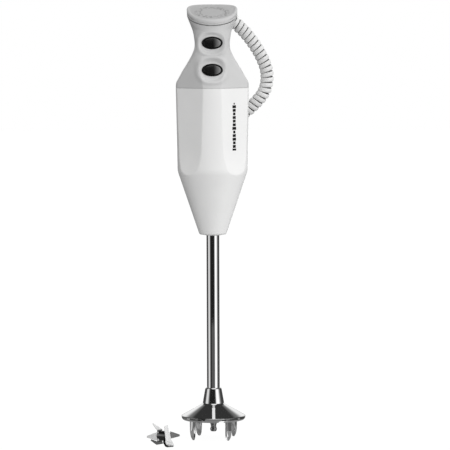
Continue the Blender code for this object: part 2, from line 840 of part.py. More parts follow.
def make_cord():
    around = [ring_point(math.radians(a)) for a in range(0, 406, 27)]
    curly = curve_through([*CORD_ROUTE, *around[1:]], 0.0066)
    pipe("curly_cord", curly, CURL_RADIUS, CORD_LOOK, 2)
    onward = (curly[-1] - curly[-2]).normalized()
    lead = [curly[-1] + onward * 2 * GAP, curly[-1] + onward * 0.0055]
    lead += [ring_point(CURL_RING_TURN + math.radians(a)) for a in range(40, 341, 20)]
    tail = curve_through([*lead, *TAIL_ROUTE], 0.0060)
    pipe("cord_tail", tail, LEAD_RADIUS, CORD_LOOK, 2)


def make_gland():
    points = curve_through(GLAND_ROUTE, 0.0026)
    last = len(points) - 1
    radii = [GLAND_RADIUS + 0.0011 * (i / last) ** 2 for i in range(last + 1)]
    pipe("cord_gland", points, 1.0, CORD_LOOK, 3, radii)


# How far down the plug each section is, and its share of the full width and thickness
PLUG_SHAPE = ((0, 0.25, 0.55), (0.12, 0.32, 0.70), (0.45, 0.62, 0.85), (0.8, 0.98, 1), (1, 1, 1))


def make_plug():
    x, y = PLUG_MIDDLE
    half_thick = PLUG_THICK / 2
    sections = []
    for share, wide, thick in PLUG_SHAPE:
        level = PLUG_TOP - share * PLUG_LENGTH
        ring_points = []
        for i in range(20):
            angle = 2 * math.pi * (i + 0.5) / 20
            reach = superellipse(angle, 4)
            across = half_thick * thick * reach * math.cos(angle)
            along = PLUG_WIDTH / 2 * wide * reach * math.sin(angle)
            ring_points.append((x + across, y + along, level))
        sections.append(ring_points)
    loft("plug_body", sections, CORD_LOOK)
    pin_top = PLUG_TOP - PLUG_LENGTH - GAP
    for side, sign in (("left", -1), ("right", 1)):
        place = (x, y + sign * PLUG_PIN_SPACING / 2, 0)
        profile = [
            (0, pin_top),
            (PLUG_PIN_RADIUS, pin_top),
            (PLUG_PIN_RADIUS, pin_top - PLUG_PIN_LENGTH + 0.0012),
            (0.0011, pin_top - PLUG_PIN_LENGTH),
            (0, pin_top - PLUG_PIN_LENGTH),
        ]
        turned(f"plug_pin_{side}", profile, BRASS, 12, place=place)


def make_tie():
    """A strap round the curly turn and the tail at the ring's left side."""
    curl_depth = ring_point(math.radians(135))[1]
    tail_depth = ring_point(math.radians(495))[1]
    near = curl_depth - CURL_RADIUS - 2 * GAP
    far = tail_depth + LEAD_RADIUS + 2 * GAP
    place = (-RING_RADIUS, (near + far) / 2, RING_HEIGHT)
    half = CURL_RADIUS + 4 * GAP
    outer = box("cord_tie", (2 * half + 0.0024, far - near + 0.0024, 0.0090), TIE_LOOK, 0.0008, place=place)
    cut(outer, box("tie_hollow", (2 * half, far - near, 0.0200), TIE_LOOK, place=place))


# Loose blade, lying on its side


def arm_ring(out, lift, width, lean):
    """A thin cross-section of a blade's arm, out from the hub and lifted along the hub's axis."""
    half = width / 2
    thick = BLADE_SHEET / 2
    dx = thick * math.sin(lean)
    dz = thick * math.cos(lean)
    return [
        (out - dx, -half, lift + dz),
        (out - dx, half, lift + dz),
        (out + dx, half, lift - dz),
        (out + dx, -half, lift - dz),
    ]


def blade_arm(name, bend, widths, bearing, parent):
    """One arm: bend lists (out, lift) and widths the width at each."""
    rings = []
    for i, (out, lift) in enumerate(bend):
        before = bend[max(i - 1, 0)]
        after = bend[min(i + 1, len(bend) - 1)]
        lean = math.atan2(after[1] - before[1], after[0] - before[0])
        rings.append(arm_ring(out, lift, widths[i], lean))
    return loft(name, rings, BLADE_STEEL, turn=(0, 0, bearing), parent=parent)


def make_blade():
    hub = new_empty("blade_frame", STANDING_PLANE, BLADE_PLACE, (math.pi / 2, 0, BLADE_TURN))
    barrel = disc("blade_hub", BLADE_BARREL_RADIUS, -0.0045, 0.0045, DARK_STEEL, 24, parent=hub)
    cut(barrel, disc("blade_bore", BLADE_BORE, -0.0060, 0.0035, DARK_STEEL, 24, parent=hub))
    inner = BLADE_BARREL_RADIUS + GAP
    backward = [(0.0045, -0.0028), (0.0058, -0.0028), (0.0088, -0.0088)]
    forward = [(0.0045, 0.0028), (0.0058, 0.0031), (0.0110, 0.0072)]
    upright = [(0.0045, 0.0028), (0.0076, 0.0028), (0.0088, 0.0040)]
    lower = ring("blade_lower", 0.0060, inner, -0.0033, -0.0023, BLADE_STEEL, 24, parent=hub)
    for i in range(4):
        widths = (0.0068, 0.0062, 0.0022)
        join(lower, blade_arm(f"lower_arm_{i}", backward, widths, i * math.pi / 2, hub))
    upper = ring("blade_upper", 0.0060, inner, 0.0023, 0.0033, BLADE_STEEL, 24, parent=hub)
    shapes = ((forward, (0.0068, 0.0062, 0.0014)), (upright, (0.0060, 0.0054, 0.0048)))
    for i in range(4):
        bend, widths = shapes[i % 2]
        join(upper, blade_arm(f"upper_arm_{i}", bend, widths, i * math.pi / 2, hub))


make_housing()
make_handle()
make_cap()
make_joint_ring()
make_switching()
make_shaft()
make_tube()
make_guard()
make_motor()
make_gland()
make_cord()
make_tie()
make_plug()
make_blade()
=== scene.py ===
"""Looks for the stick mixer: fine surfaces, materials, floor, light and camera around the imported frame.

Heights in this file are measured from the surface the guard's feet stand on. The row frame's origin is
the drive pin's end, PIN_END above that surface. All lengths are metres.
"""

import json
import math

import bpy
import numpy as np
from mathutils import Euler, Matrix, Vector


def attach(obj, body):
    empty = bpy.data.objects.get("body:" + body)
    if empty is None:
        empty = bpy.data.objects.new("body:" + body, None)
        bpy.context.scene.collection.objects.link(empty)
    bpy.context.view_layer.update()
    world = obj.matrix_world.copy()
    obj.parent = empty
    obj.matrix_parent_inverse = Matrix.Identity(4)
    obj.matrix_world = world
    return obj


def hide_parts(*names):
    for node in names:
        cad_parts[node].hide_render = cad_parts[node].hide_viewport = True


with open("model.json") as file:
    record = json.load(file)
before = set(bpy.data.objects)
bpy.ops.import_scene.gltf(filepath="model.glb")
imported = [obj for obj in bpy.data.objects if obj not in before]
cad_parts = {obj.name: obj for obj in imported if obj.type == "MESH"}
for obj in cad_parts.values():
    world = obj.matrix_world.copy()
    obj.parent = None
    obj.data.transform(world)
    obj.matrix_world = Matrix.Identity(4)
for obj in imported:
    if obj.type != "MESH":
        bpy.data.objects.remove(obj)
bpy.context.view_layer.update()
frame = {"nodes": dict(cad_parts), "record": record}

PIN_END = 0.0055
FLOOR = Vector((0, 0, -PIN_END))


# Camera: nearly level with the cap, far away with a long lens

EYE = Vector((0, -2.505, 0.342)) + FLOOR
AIM = Vector((0, 0, 0.170)) + FLOOR
ROLL = math.radians(-0.2)


def make_camera():
    data = bpy.data.cameras.new("camera")
    data.sensor_width = 36
    data.lens = 256.9
    data.shift_x = 0.0271
    data.shift_y = -0.0063
    data.clip_start = 0.1
    data.clip_end = 20
    camera = bpy.data.objects.new("camera", data)
    turn = (AIM - EYE).to_track_quat("-Z", "Y").to_matrix().to_4x4()
    camera.matrix_world = Matrix.Translation(EYE) @ turn @ Matrix.Rotation(ROLL, 4, "Z")
    bpy.context.scene.collection.objects.link(camera)
    bpy.context.scene.camera = camera


make_camera()


# Mesh helpers


def blend(low, high, value):
    """0 up to low, 1 from high on, and a smooth climb between them."""
    share = np.clip((np.asarray(value, float) - low) / (high - low), 0, 1)
    return share * share * (3 - 2 * share)


def all_round(count):
    """Angles at even steps of one full turn."""
    return np.linspace(0, 2 * math.pi, count, endpoint=False)


def superellipse(angles, power):
    """Distance to the edge of a unit oval that gets squarer with its power; 2 is a circle."""
    return (np.abs(np.cos(angles)) ** power + np.abs(np.sin(angles)) ** power) ** (-1 / power)


def level_ring(reach, angles, height):
    """Points round the axis at one height; reach is one distance or one for each angle."""
    return np.stack([reach * np.cos(angles), reach * np.sin(angles), np.full(len(angles), height)], 1)


def new_object(name, points, faces, look, creases=40):
    """A smooth mesh in one material, with edges sharper than creases degrees kept."""
    mesh = bpy.data.meshes.new(name)
    mesh.from_pydata([tuple(p) for p in points], [], faces)
    mesh.materials.append(look.material)
    mesh.shade_smooth()
    mesh.set_sharp_from_angle(angle=math.radians(creases))
    thing = bpy.data.objects.new(name, mesh)
    bpy.context.scene.collection.objects.link(thing)
    return thing


def ring_faces(levels, count):
    """Quads between closed rings of points, facing out when anticlockwise rings climb."""
    faces = []
    for level in range(levels - 1):
        low = level * count
        for i in range(count):
            j = (i + 1) % count
            faces.append((low + i, low + j, low + count + j, low + count + i))
    return faces


def skin(name, rings, look, ends=True, **options):
    """A surface through rings of equally many points, with both ends closed or both open."""
    rings = [np.asarray(one, float) for one in rings]
    count = len(rings[0])
    points = np.concatenate(rings)
    faces = ring_faces(len(rings), count)
    if ends:
        first = (len(rings) - 1) * count
        faces.append(tuple(range(count - 1, -1, -1)))
        faces.append(tuple(range(first, first + count)))
    return new_object(name, points, faces, look, **options)


MOST_OF_SIDE = 0.48
SHORTEST_FILLET = 1e-6


def filleted(points, radius, steps=5):
    """The same line with each inner corner rounded; radius is one value or one for each point."""
    out = [points[0]]
    for i in range(1, len(points) - 1):
        here = np.array(points[i], float)
        before = np.array(points[i - 1], float) - here
        after = np.array(points[i + 1], float) - here
        size = radius[i] if isinstance(radius, (list, tuple)) else radius
        reach = min(size, np.linalg.norm(before) * MOST_OF_SIDE, np.linalg.norm(after) * MOST_OF_SIDE)
        if reach < SHORTEST_FILLET:
            out.append(tuple(here))
            continue
        start = here + before / np.linalg.norm(before) * reach
        end = here + after / np.linalg.norm(after) * reach
        for k in range(steps + 1):
            t = k / steps
            out.append(tuple((1 - t) ** 2 * start + 2 * t * (1 - t) * here + t * t * end))
    out.append(points[-1])
    return out


def turned(name, profile, look, steps=96, place=(0, 0, 0), turn=(0, 0, 0), **options):
    """A turned piece from its (radius, height) points."""
    angles = all_round(steps)
    rings = [level_ring(radius, angles, height) for radius, height in profile]
    thing = skin(name, rings, look, **options)
    matrix = Matrix.Translation(Vector(place) + FLOOR) @ Euler(turn).to_matrix().to_4x4()
    thing.data.transform(matrix)
    return thing


def lowered(thing):
    """Moves a mesh made with heights above the floor into the row frame."""
    thing.data.transform(Matrix.Translation(FLOOR))
    return thing


def curve_through(points, step, parts=24):
    """Evenly placed points on a smooth curve through the given ones, first cut in fine parts."""
    route = [Vector(point) for point in points]
    route = [2 * route[0] - route[1], *route, 2 * route[-1] - route[-2]]
    fine = []
    for a, b, c, d in zip(route, route[1:], route[2:], route[3:]):
        square = 2 * a - 5 * b + 4 * c - d
        cube = 3 * b - a - 3 * c + d
        for i in range(parts):
            t = i / parts
            fine.append(0.5 * (2 * b + (c - a) * t + square * t**2 + cube * t**3))
    fine.append(route[-2])
    total = sum((b - a).length for a, b in zip(fine, fine[1:]))
    count = max(2, round(total / step))
    spaced = [fine[0]]
    walked = 0.0
    for a, b in zip(fine, fine[1:]):
        length = (b - a).length
        while len(spaced) < count and walked + length >= len(spaced) * total / count:
            spaced.append(a.lerp(b, (len(spaced) * total / count - walked) / length))
        walked += length
    spaced.append(fine[-1])
    return spaced


def direction(points, i):
    """The way a line runs at one of its points."""
    return (points[min(i + 1, len(points) - 1)] - points[max(i - 1, 0)]).normalized()


def frames_along(points):
    """(normal, binormal) at each point, carried along without twist."""
    normal = direction(points, 0).orthogonal().normalized()
    frames = []
    for i in range(len(points)):
        tangent = direction(points, i)
        normal = (normal - tangent * normal.dot(tangent)).normalized()
        frames.append((normal, tangent.cross(normal)))
    return frames


# Materials: every one is procedural, with its own grain and wear; a few also carry painted light and shade

MIX_A, MIX_B, MIX_OUT = 6, 7, 2  # the colour sockets of a Mix node


def grey(value):
    return (value, value, value)


class Look:
    """A material being put together."""

    def __init__(self, name):
        self.material = bpy.data.materials.new(name + "_look")
        self.material.use_nodes = True
        self.tree = self.material.node_tree
        self.shader = self.tree.nodes["Principled BSDF"]
        self.place = self.add("ShaderNodeTexCoord").outputs["Object"]
        self.height = None

    def add(self, kind, **settings):
        node = self.tree.nodes.new(kind)
        for key, value in settings.items():
            setattr(node, key, value)
        return node

    def link(self, source, target):
        self.tree.links.new(source, target)

    def set(self, **values):
        for key, value in values.items():
            self.shader.inputs[key.replace("_", " ")].default_value = value

    def noise(self, scale, detail=3.0, stretch=None):
        node = self.add("ShaderNodeTexNoise")
        node.inputs["Scale"].default_value = scale
        node.inputs["Detail"].default_value = detail
        place = self.place
        if stretch:
            mapping = self.add("ShaderNodeMapping")
            mapping.inputs["Scale"].default_value = stretch
            self.link(place, mapping.inputs["Vector"])
            place = mapping.outputs["Vector"]
        self.link(place, node.inputs["Vector"])
        return node.outputs["Fac"]

    def range(self, source, low=0.0, high=1.0, start=0.3, end=0.7):
        node = self.add("ShaderNodeMapRange")
        node.inputs["From Min"].default_value = start
        node.inputs["From Max"].default_value = end
        node.inputs["To Min"].default_value = low
        node.inputs["To Max"].default_value = high
        self.link(source, node.inputs["Value"])
        return node.outputs["Result"]

    def wave(self, direction, scale):
        node = self.add("ShaderNodeTexWave", bands_direction=direction)
        node.inputs["Scale"].default_value = scale
        self.link(self.place, node.inputs["Vector"])
        return node

    def product(self, a, b):
        node = self.add("ShaderNodeMath", operation="MULTIPLY")
        self.link(a, node.inputs[0])
        self.link(b, node.inputs[1])
        return node.outputs["Value"]

    def mix_colour(self, share, other, first=None, **settings):
        """Mixes another colour into the first one, or into the present one."""
        mix = self.add("ShaderNodeMix", data_type="RGBA", **settings)
        colour = self.shader.inputs["Base Color"]
        if first:
            mix.inputs[MIX_A].default_value = (*first, 1)
        else:
            self.link(colour.links[0].from_socket, mix.inputs[MIX_A])
        mix.inputs[MIX_B].default_value = (*other, 1)
        self.link(share, mix.inputs[0])
        self.link(mix.outputs[MIX_OUT], colour)

    def vary_colour(self, source, dark, light):
        self.mix_colour(source, light, dark)

    def darken(self, source, least):
        """Multiplies the colour by least wherever source is 1."""
        self.mix_colour(source, grey(least), blend_type="MULTIPLY")

    def fade_along(self, axis, start, end, colour):
        """Lets the colour pass to another one between two places along the piece."""
        split = self.add("ShaderNodeSeparateXYZ")
        self.link(self.place, split.inputs["Vector"])
        share = self.range(split.outputs[axis], start=start, end=end)
        share.node.interpolation_type = "SMOOTHSTEP"
        self.mix_colour(share, colour)

    def vary_roughness(self, source, low, high):
        self.link(self.range(source, low, high), self.shader.inputs["Roughness"])

    def bump(self, source, depth, strength=1.0):
        node = self.add("ShaderNodeBump")
        node.inputs["Strength"].default_value = strength
        node.inputs["Distance"].default_value = depth
        self.link(source, node.inputs["Height"])
        if self.height is not None:
            self.link(self.height, node.inputs["Normal"])
        self.height = node.outputs["Normal"]
        self.link(self.height, self.shader.inputs["Normal"])


def plastic(name, dark, light, roughness, grain=0.00003, scale=2600.0, specular=0.35):
    """Moulded plastic: a fine spark-eroded grain, faint flow marks and handling marks."""
    look = Look(name)
    look.set(Specular_IOR_Level=specular)
    flow = look.noise(38.0)
    look.vary_colour(look.range(flow), dark, light)
    handling = look.noise(90.0, 4.0, (1.0, 1.0, 0.35))
    look.vary_roughness(handling, roughness * 0.88, roughness * 1.12)
    look.bump(look.noise(scale, 2.0), grain)
    sink_marks = look.noise(24.0, 1.0)
    look.bump(sink_marks, 0.00012, 0.5)
    return look


def metal(name, dark, light, roughness, spread=0.25, scratch=0.000004, stretch=(1.0, 1.0, 0.05)):
    """Metal with fine drawn lines, faint smears and varying polish."""
    look = Look(name)
    look.set(Metallic=1.0)
    smears = look.noise(60.0)
    look.vary_colour(look.range(smears), dark, light)
    polish = look.noise(140.0, 5.0)
    look.vary_roughness(polish, roughness * (1 - spread), roughness * (1 + spread))
    drawn = look.noise(1500.0, 3.0, stretch)
    look.bump(drawn, scratch)
    return look


GRAIN_ALONG = (0.2, 1.0, 1.0)
PALE = plastic("pale_shell", (0.800, 0.800, 0.797), (0.830, 0.830, 0.826), 0.34, 0.000012)
GREY = plastic("grey_shell", grey(0.575), grey(0.615), 0.42, 0.00003)
# Painted shade: the grey shell darkens upward across the handle's neck and stays darker above it.
GREY.fade_along("Z", 0.2840, 0.3080, grey(0.535))
RUBBER = plastic("black_rubber", grey(0.003), grey(0.006), 0.55, 0.00002, 3400.0)
BUTTON = plastic("button_plastic", grey(0.004), grey(0.007), 0.26, 0.00001, 3400.0, 0.5)
BUTTON.set(IOR=1.7)
# Painted highlight: the button plastic grows lighter towards its right-hand side, a painted reflection of the
# light from the right.
BUTTON.fade_along("X", 0.0006, 0.0072, grey(0.24))
INNER = plastic("inner_plastic", (0.05, 0.05, 0.055), (0.08, 0.08, 0.085), 0.55, 0.00006, 1400.0)
WHITE = plastic("white_plastic", (0.62, 0.62, 0.59), (0.72, 0.72, 0.70), 0.45)
CORD = plastic("cord_sheath", (0.66, 0.66, 0.657), (0.74, 0.74, 0.737), 0.38, 0.00002, 1800.0)
# Painted shade for the wire's flanks between the cord's turns, where the turns shade each other.
CREASE_SHADE = plastic("cord_crease_shade", grey(0.12), grey(0.18), 0.55, 0.00002, 1800.0)
CARBON = plastic("carbon", (0.015, 0.015, 0.016), (0.035, 0.035, 0.036), 0.62, 0.00008, 1600.0)
CHROME = metal("chrome", grey(0.86), grey(0.90), 0.045, 0.3, 0.000002)
BLADE = metal("blade_steel", grey(0.78), grey(0.88), 0.14, 0.3, 0.000004, GRAIN_ALONG)
PIN_STEEL = metal("pin", grey(0.40), grey(0.46), 0.07, 0.3, 0.000002)
# Painted light and shade on the loose blade: the next three are lit, half-shaded and shaded copies of the one
# blade steel, given to single arms and the barrel.
PAINTED_LIGHT_STEEL = metal("blade_painted_light", grey(0.80), grey(0.88), 0.30, 0.3, 0.000004, GRAIN_ALONG)
PAINTED_LIGHT_STEEL.set(Metallic=0.20)
PAINTED_HALF_SHADE_STEEL = metal("blade_painted_half_shade", grey(0.24), grey(0.30), 0.30, 0.3, 0.000004, GRAIN_ALONG)
PAINTED_HALF_SHADE_STEEL.set(Metallic=0.50)
PAINTED_SHADE_STEEL = metal("blade_painted_shade", grey(0.12), grey(0.18), 0.20, 0.3, 0.000004)
STEEL = metal("shaft_steel", (0.50, 0.50, 0.51), (0.62, 0.62, 0.63), 0.18, 0.3, 6e-6, (0.1, 0.1, 2.0))
SPRING = metal("spring_steel", (0.45, 0.45, 0.46), (0.60, 0.60, 0.60), 0.28)
BRASS = metal("brass_fitting", (0.62, 0.44, 0.16), (0.78, 0.60, 0.27), 0.26)
BRONZE = metal("bronze_bush", (0.42, 0.27, 0.11), (0.58, 0.40, 0.18), 0.45, 0.3, 0.00003, (1, 1, 1))


def make_lamination_look():
    """Stacked sheet steel: dark fine lines across the height."""
    look = metal("lamination_steel", (0.20, 0.20, 0.21), (0.34, 0.34, 0.35), 0.42)
    look.bump(look.wave("Z", 320).outputs["Fac"], 0.0001)
    return look


def make_copper_look():
    """Enamelled wire wound round and round."""
    look = metal("copper_winding", (0.50, 0.16, 0.05), (0.80, 0.34, 0.14), 0.30)
    wave = look.wave("DIAGONAL", 260)
    wave.inputs["Distortion"].default_value = 1.5
    look.bump(wave.outputs["Fac"], 0.0003)
    return look


def make_strap_look():
    """A woven strap."""
    look = Look("cord_tie")
    look.set(Sheen_Weight=0.25, Sheen_Roughness=0.5)
    weave = look.product(look.wave("Z", 420).outputs["Fac"], look.wave("Y", 420).outputs["Fac"])
    look.vary_colour(weave, (0.012, 0.012, 0.013), (0.05, 0.05, 0.052))
    look.vary_roughness(look.noise(300.0), 0.75, 0.95)
    look.bump(weave, 0.0003)
    return look


LAMINATION = make_lamination_look()
COPPER = make_copper_look()
STRAP = make_strap_look()
LOOKS = {
    "grey_shell": GREY, "pale_shell": PALE, "black_rubber": RUBBER, "button_plastic": BUTTON,
    "chrome": CHROME, "blade_steel": BLADE, "shaft_steel": STEEL, "lamination_steel": LAMINATION,
    "copper_winding": COPPER, "bronze_bush": BRONZE, "brass_fitting": BRASS, "carbon": CARBON,
    "inner_plastic": INNER, "white_plastic": WHITE, "cord_sheath": CORD, "cord_tie": STRAP,
    "spring_steel": SPRING,
}


def dress_cad_nodes():
    """Gives each CAD piece its finish from the record."""
    for part in frame["record"]["subparts"]:
        node = frame["nodes"][part["node"]]
        node.data.materials.clear()
        node.data.materials.append(LOOKS[part["material_slot"]].material)


dress_cad_nodes()


def settle(thing, slot, *nodes, body="body"):
    """Rides a piece on its body and hides the CAD nodes it stands for; the slot, its finish's name, is not
    used.
    """
    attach(thing, body)
    if nodes:
        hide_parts(*nodes)


# Cord: a curly wire in one fat arc, wound once behind the housing, then a straight tail to the plug

WIRE = 0.0039
WIRE_THICKNESS = WIRE * 0.92
WIRE_SQUARENESS = 2.8
WIRE_POINTS = 20
CURL_OUTER = 0.0054
CURL_PITCH = 0.0041
CURL_PHASE = 1.0
CURL_STEP = 0.00013
TAIL_STEP = 0.0020
STEPS_IN_FIRST_TURN = 36
RING_RADIUS = 0.0190
RING_HEIGHT = 0.2600
RING_START_DEPTH = 0.0358
RING_PITCH = 0.0114
RING_START = math.radians(-45)
CURL_RING_DEGREES = 405
CURL_RING_TURN = math.radians(CURL_RING_DEGREES)
TAIL_PITCH = 0.0070
GLAND_RINGS = 9
GLAND_ROUTE = (
    (0.0085, 0.0140, 0.3275), (0.0087, 0.0190, 0.3277), (0.0095, 0.0238, 0.3284),
    (0.0119, 0.0279, 0.3293), (0.0154, 0.0302, 0.3286), (0.0162, 0.0304, 0.3277),
)
CORD_ROUTE = (
    (0.0164, 0.0305, 0.3275), (0.0184, 0.0309, 0.3253), (0.0268, 0.0325, 0.3169), (0.0341, 0.0333, 0.3071),
    (0.0395, 0.0338, 0.2975), (0.0428, 0.0340, 0.2880), (0.0430, 0.0341, 0.2786), (0.0398, 0.0343, 0.2691),
    (0.0307, 0.0347, 0.2590), (0.0222, 0.0352, 0.2528), (0.0176, 0.0355, 0.2497),
)
TAIL_ROUTE = ((-0.0008, 0.0560, 0.2400), (0.0000, 0.0550, 0.2360), (0.0000, 0.0550, 0.2326))


def ring_point(turned_by):
    """A point of the turn behind the housing, which moves back as it goes round."""
    angle = RING_START - turned_by
    curled = min(turned_by, CURL_RING_TURN)
    depth = RING_START_DEPTH + RING_PITCH * curled / (2 * math.pi)
    depth += TAIL_PITCH * (turned_by - curled) / (2 * math.pi)
    return Vector((RING_RADIUS * math.cos(angle), depth, RING_HEIGHT + RING_RADIUS * math.sin(angle)))


def oval_section(wide, thick, power, count):
    """The points of an oval of that power, as pairs (across, out)."""
    angles = all_round(count)
    reach = superellipse(angles, power)
    return np.stack([wide / 2 * reach * np.cos(angles), thick / 2 * reach * np.sin(angles)], 1).tolist()


def wire_path():
    """The wire's centreline on the helix round the fat arc, its outward directions, and the straight tail."""
    around = [ring_point(math.radians(a)) for a in range(27, CURL_RING_DEGREES + 1, 27)]
    middle = curve_through([*CORD_ROUTE, *around], CURL_STEP)
    step = sum((b - a).length for a, b in zip(middle, middle[1:])) / (len(middle) - 1)
    total = step * (len(middle) - 1)
    radius = CURL_OUTER - WIRE / 2
    path = []
    outward = []
    for i, (point, (normal, side)) in enumerate(zip(middle, frames_along(middle))):
        walked = i * step
        size = radius * float(blend(-0.0010, 0.0036, walked)) * float(1 - blend(total - 0.012, total, walked))
        phase = 2 * math.pi * walked / CURL_PITCH + CURL_PHASE
        out = normal * math.cos(phase) + side * math.sin(phase)
        path.append(point + out * size)
        outward.append(out)
    onward = (middle[-1] - middle[-2]).normalized()
    lead = [middle[-1] + onward * 0.0006, middle[-1] + onward * 0.0055]
    lead += [ring_point(CURL_RING_TURN + math.radians(a)) for a in range(40, 341, 20)]
    tail = curve_through([*lead, *TAIL_ROUTE], TAIL_STEP)
    return path, outward, tail


def make_cord(plug_pieces):
    """The wire in one mesh: painted shade on the flanks between its turns, and a black painted shadow of the
    gland on the first turn's flank.
    """
    path, outward, tail = wire_path()
    whole = [*path, *tail]
    rib = oval_section(WIRE, WIRE_THICKNESS, WIRE_SQUARENESS, WIRE_POINTS)
    rings = []
    out = outward[0]
    for i, point in enumerate(whole):
        tangent = direction(whole, i)
        if i < len(outward):
            out = outward[i]
        out = (out - tangent * out.dot(tangent)).normalized()
        side = tangent.cross(out)
        rings.append([point + side * a + out * b for a, b in rib])
    cord = skin("cord_wire", rings, CORD, creases=60)
    cord.data.materials.append(CREASE_SHADE.material)
    cord.data.materials.append(RUBBER.material)
    sideways = [rib[k][0] + rib[(k + 1) % WIRE_POINTS][0] for k in range(WIRE_POINTS)]
    for i, face in enumerate(cord.data.polygons):
        step, k = divmod(i, WIRE_POINTS)
        # Flanks along the curl take the painted crease shade.
        if step < len(outward) and abs(sideways[k]) > 0.93 * WIRE:
            face.material_index = 1
        # On the first turns the flank facing the gland is black rubber, a painted shadow of the gland.
        if step < STEPS_IN_FIRST_TURN and sideways[k] > 0.72 * WIRE:
            face.material_index = 2
    lowered(cord)
    settle(cord, "cord_sheath", "curly_cord", "cord_tail")


def make_gland():
    """The strain relief: a bent sleeve with narrow rings and a wide last ring."""
    path = curve_through(GLAND_ROUTE, 0.0003)
    rings = []
    for i, (point, (normal, side)) in enumerate(zip(path, frames_along(path))):
        share = i / (len(path) - 1)
        radius = 0.0042 + 0.0011 * share**2
        wave = 0.5 - 0.5 * math.cos(2 * math.pi * share * GLAND_RINGS)
        groove = 0.00055 * wave**3 * float(blend(0.15, 0.3, share)) * float(1 - blend(0.84, 0.86, share))
        rim = 0.0006 * float(blend(0.985, 1.0, share))
        across = 2 * (radius - groove - rim)
        rings.append([point + normal * a + side * b for a, b in oval_section(across, across, 2, 48)])
    gland = lowered(skin("gland_sleeve", rings, CORD))
    settle(gland, "cord_sheath", "cord_gland")


# Plug: flat two-pin mains plug with a ribbed neck

PLUG_MIDDLE = Vector((0.0, 0.0550, 0.0))
PLUG_TOP = 0.2320
PLUG_LENGTH = 0.0330
PLUG_HALF_THICK = 0.00685
PLUG_HALF_WIDE = 0.0175
PLUG_SQUARENESS = 3.6
PLUG_RIBS = 22
PLUG_SHAPE = (  # share of the length, of the width and of the thickness
    (0, 0.22, 0.50), (0.06, 0.26, 0.56), (0.12, 0.30, 0.66), (0.45, 0.62, 0.85),
    (0.8, 0.97, 0.98), (0.95, 1.0, 1.0), (1, 0.95, 0.86),
)
PIN_OUT = 0.0093
SLEEVE_END = 0.0100


def make_plug():
    """The plug's moulding with its ribbed neck and grip, and the two pins in their sleeves."""
    sections = []
    angles = all_round(64)
    reach = superellipse(angles, PLUG_SQUARENESS)
    places, widths, depths = zip(*PLUG_SHAPE)
    for level in np.linspace(0, 1, 90):
        wave = (0.5 - 0.5 * math.cos(2 * math.pi * level * PLUG_RIBS)) ** 2
        groove = 0.06 * wave * (level < 0.32)
        grip = 0.05 * wave * (0.5 < level < 0.86) * np.abs(np.sin(angles)) ** 8
        thick = np.interp(level, places, depths) - groove
        wide = np.interp(level, places, widths) - groove * 0.6 - grip
        x = PLUG_MIDDLE.x + PLUG_HALF_THICK * thick * reach * np.cos(angles)
        y = PLUG_MIDDLE.y + PLUG_HALF_WIDE * wide * reach * np.sin(angles)
        sections.append(np.stack([x, y, np.full(len(angles), PLUG_TOP - PLUG_LENGTH * level)], 1))
    body = lowered(skin("plug_moulding", sections[::-1], CORD))
    settle(body, "cord_sheath", "plug_body")
    pieces = [body]
    pin_top = PLUG_TOP - PLUG_LENGTH - 0.0003
    for side, sign in (("left", -1), ("right", 1)):
        place = PLUG_MIDDLE + Vector((0, sign * PIN_OUT, 0))
        sleeve = [(0, pin_top - SLEEVE_END), (0.0019, pin_top - SLEEVE_END), (0.0019, pin_top), (0, pin_top)]
        cover = turned(f"pin_sleeve_{side}", filleted(sleeve, 0.0001), RUBBER, 40, place=place)
        settle(cover, "black_rubber")
        tip = [(0, pin_top - 0.0180), (0.0011, pin_top - 0.0180), (0.0020, pin_top - 0.0168)]
        tip += [(0.0020, pin_top - SLEEVE_END), (0, pin_top - 0.0099)]
        metal_end = turned(f"pin_tip_{side}", filleted(tip, 0.0003), BRASS, 40, place=place)
        settle(metal_end, "brass_fitting", f"plug_pin_{side}")
        pieces += [cover, metal_end]
    return pieces


def make_tie():
    """The strap round the curly turn and the tail."""
    curl_depth = ring_point(math.radians(135))[1]
    tail_depth = ring_point(math.radians(495))[1]
    near = curl_depth - CURL_OUTER - 0.0006
    far = tail_depth + 0.0020 + 0.0006
    half = CURL_OUTER + 0.0012
    deep = (far - near) / 2
    low, high, thick = -0.0045, 0.0045, 0.0011
    levels = filleted([(low, 0.0), (low, thick), (high, thick), (high, 0.0)], 0.0004, 3)
    angles = all_round(64)
    reach = superellipse(angles, 5)
    rings = []
    for level, out in [*levels, (high, 0.0), (low, 0.0)]:
        x = -RING_RADIUS + (half + out) * reach * np.cos(angles)
        y = (near + far) / 2 + (deep + out) * reach * np.sin(angles)
        rings.append(np.stack([x, y, np.full(len(angles), RING_HEIGHT + level)], 1))
    strap = lowered(skin("tie_strap", rings, STRAP, ends=False))
    settle(strap, "cord_tie", "cord_tie")
    return strap


make_cord([*make_plug(), make_tie()])
make_gland()


# Lower housing

FLAT_DISTANCE = 0.02457
FLAT_BEND_START = 0.2300
FLAT_BEND_RADIUS = 0.130
EDGE_SOFTNESS = 0.0003
TUBE_HOLE = 0.0056
HOUSING_LINE = filleted(
    [(0.00996, 0.1606), (0.01076, 0.1614), (0.02735, 0.2103),
     (0.02755, 0.2285), (0.02850, 0.2748), (0.02830, 0.2750)],
    [0, 0.0006, 0.0026, 0.003, 0.0001, 0],
    8,
)
ANGLES = all_round(384)
TO_FLAT = np.abs(np.mod(ANGLES, math.pi / 2) - math.pi / 4)


def least(a, b, softness):
    """The smaller of two distances, with the meeting rounded over about that distance."""
    share = np.clip(0.5 + 0.5 * (b - a) / softness, 0, 1)
    return b * (1 - share) + a * share - softness * share * (1 - share)


def flat_reach(level):
    """Distance of the four flats from the axis, in each direction, at one height."""
    below = max(FLAT_BEND_START - level, 0)
    away = FLAT_DISTANCE + FLAT_BEND_RADIUS - math.sqrt(FLAT_BEND_RADIUS**2 - below**2)
    return away / np.cos(TO_FLAT)


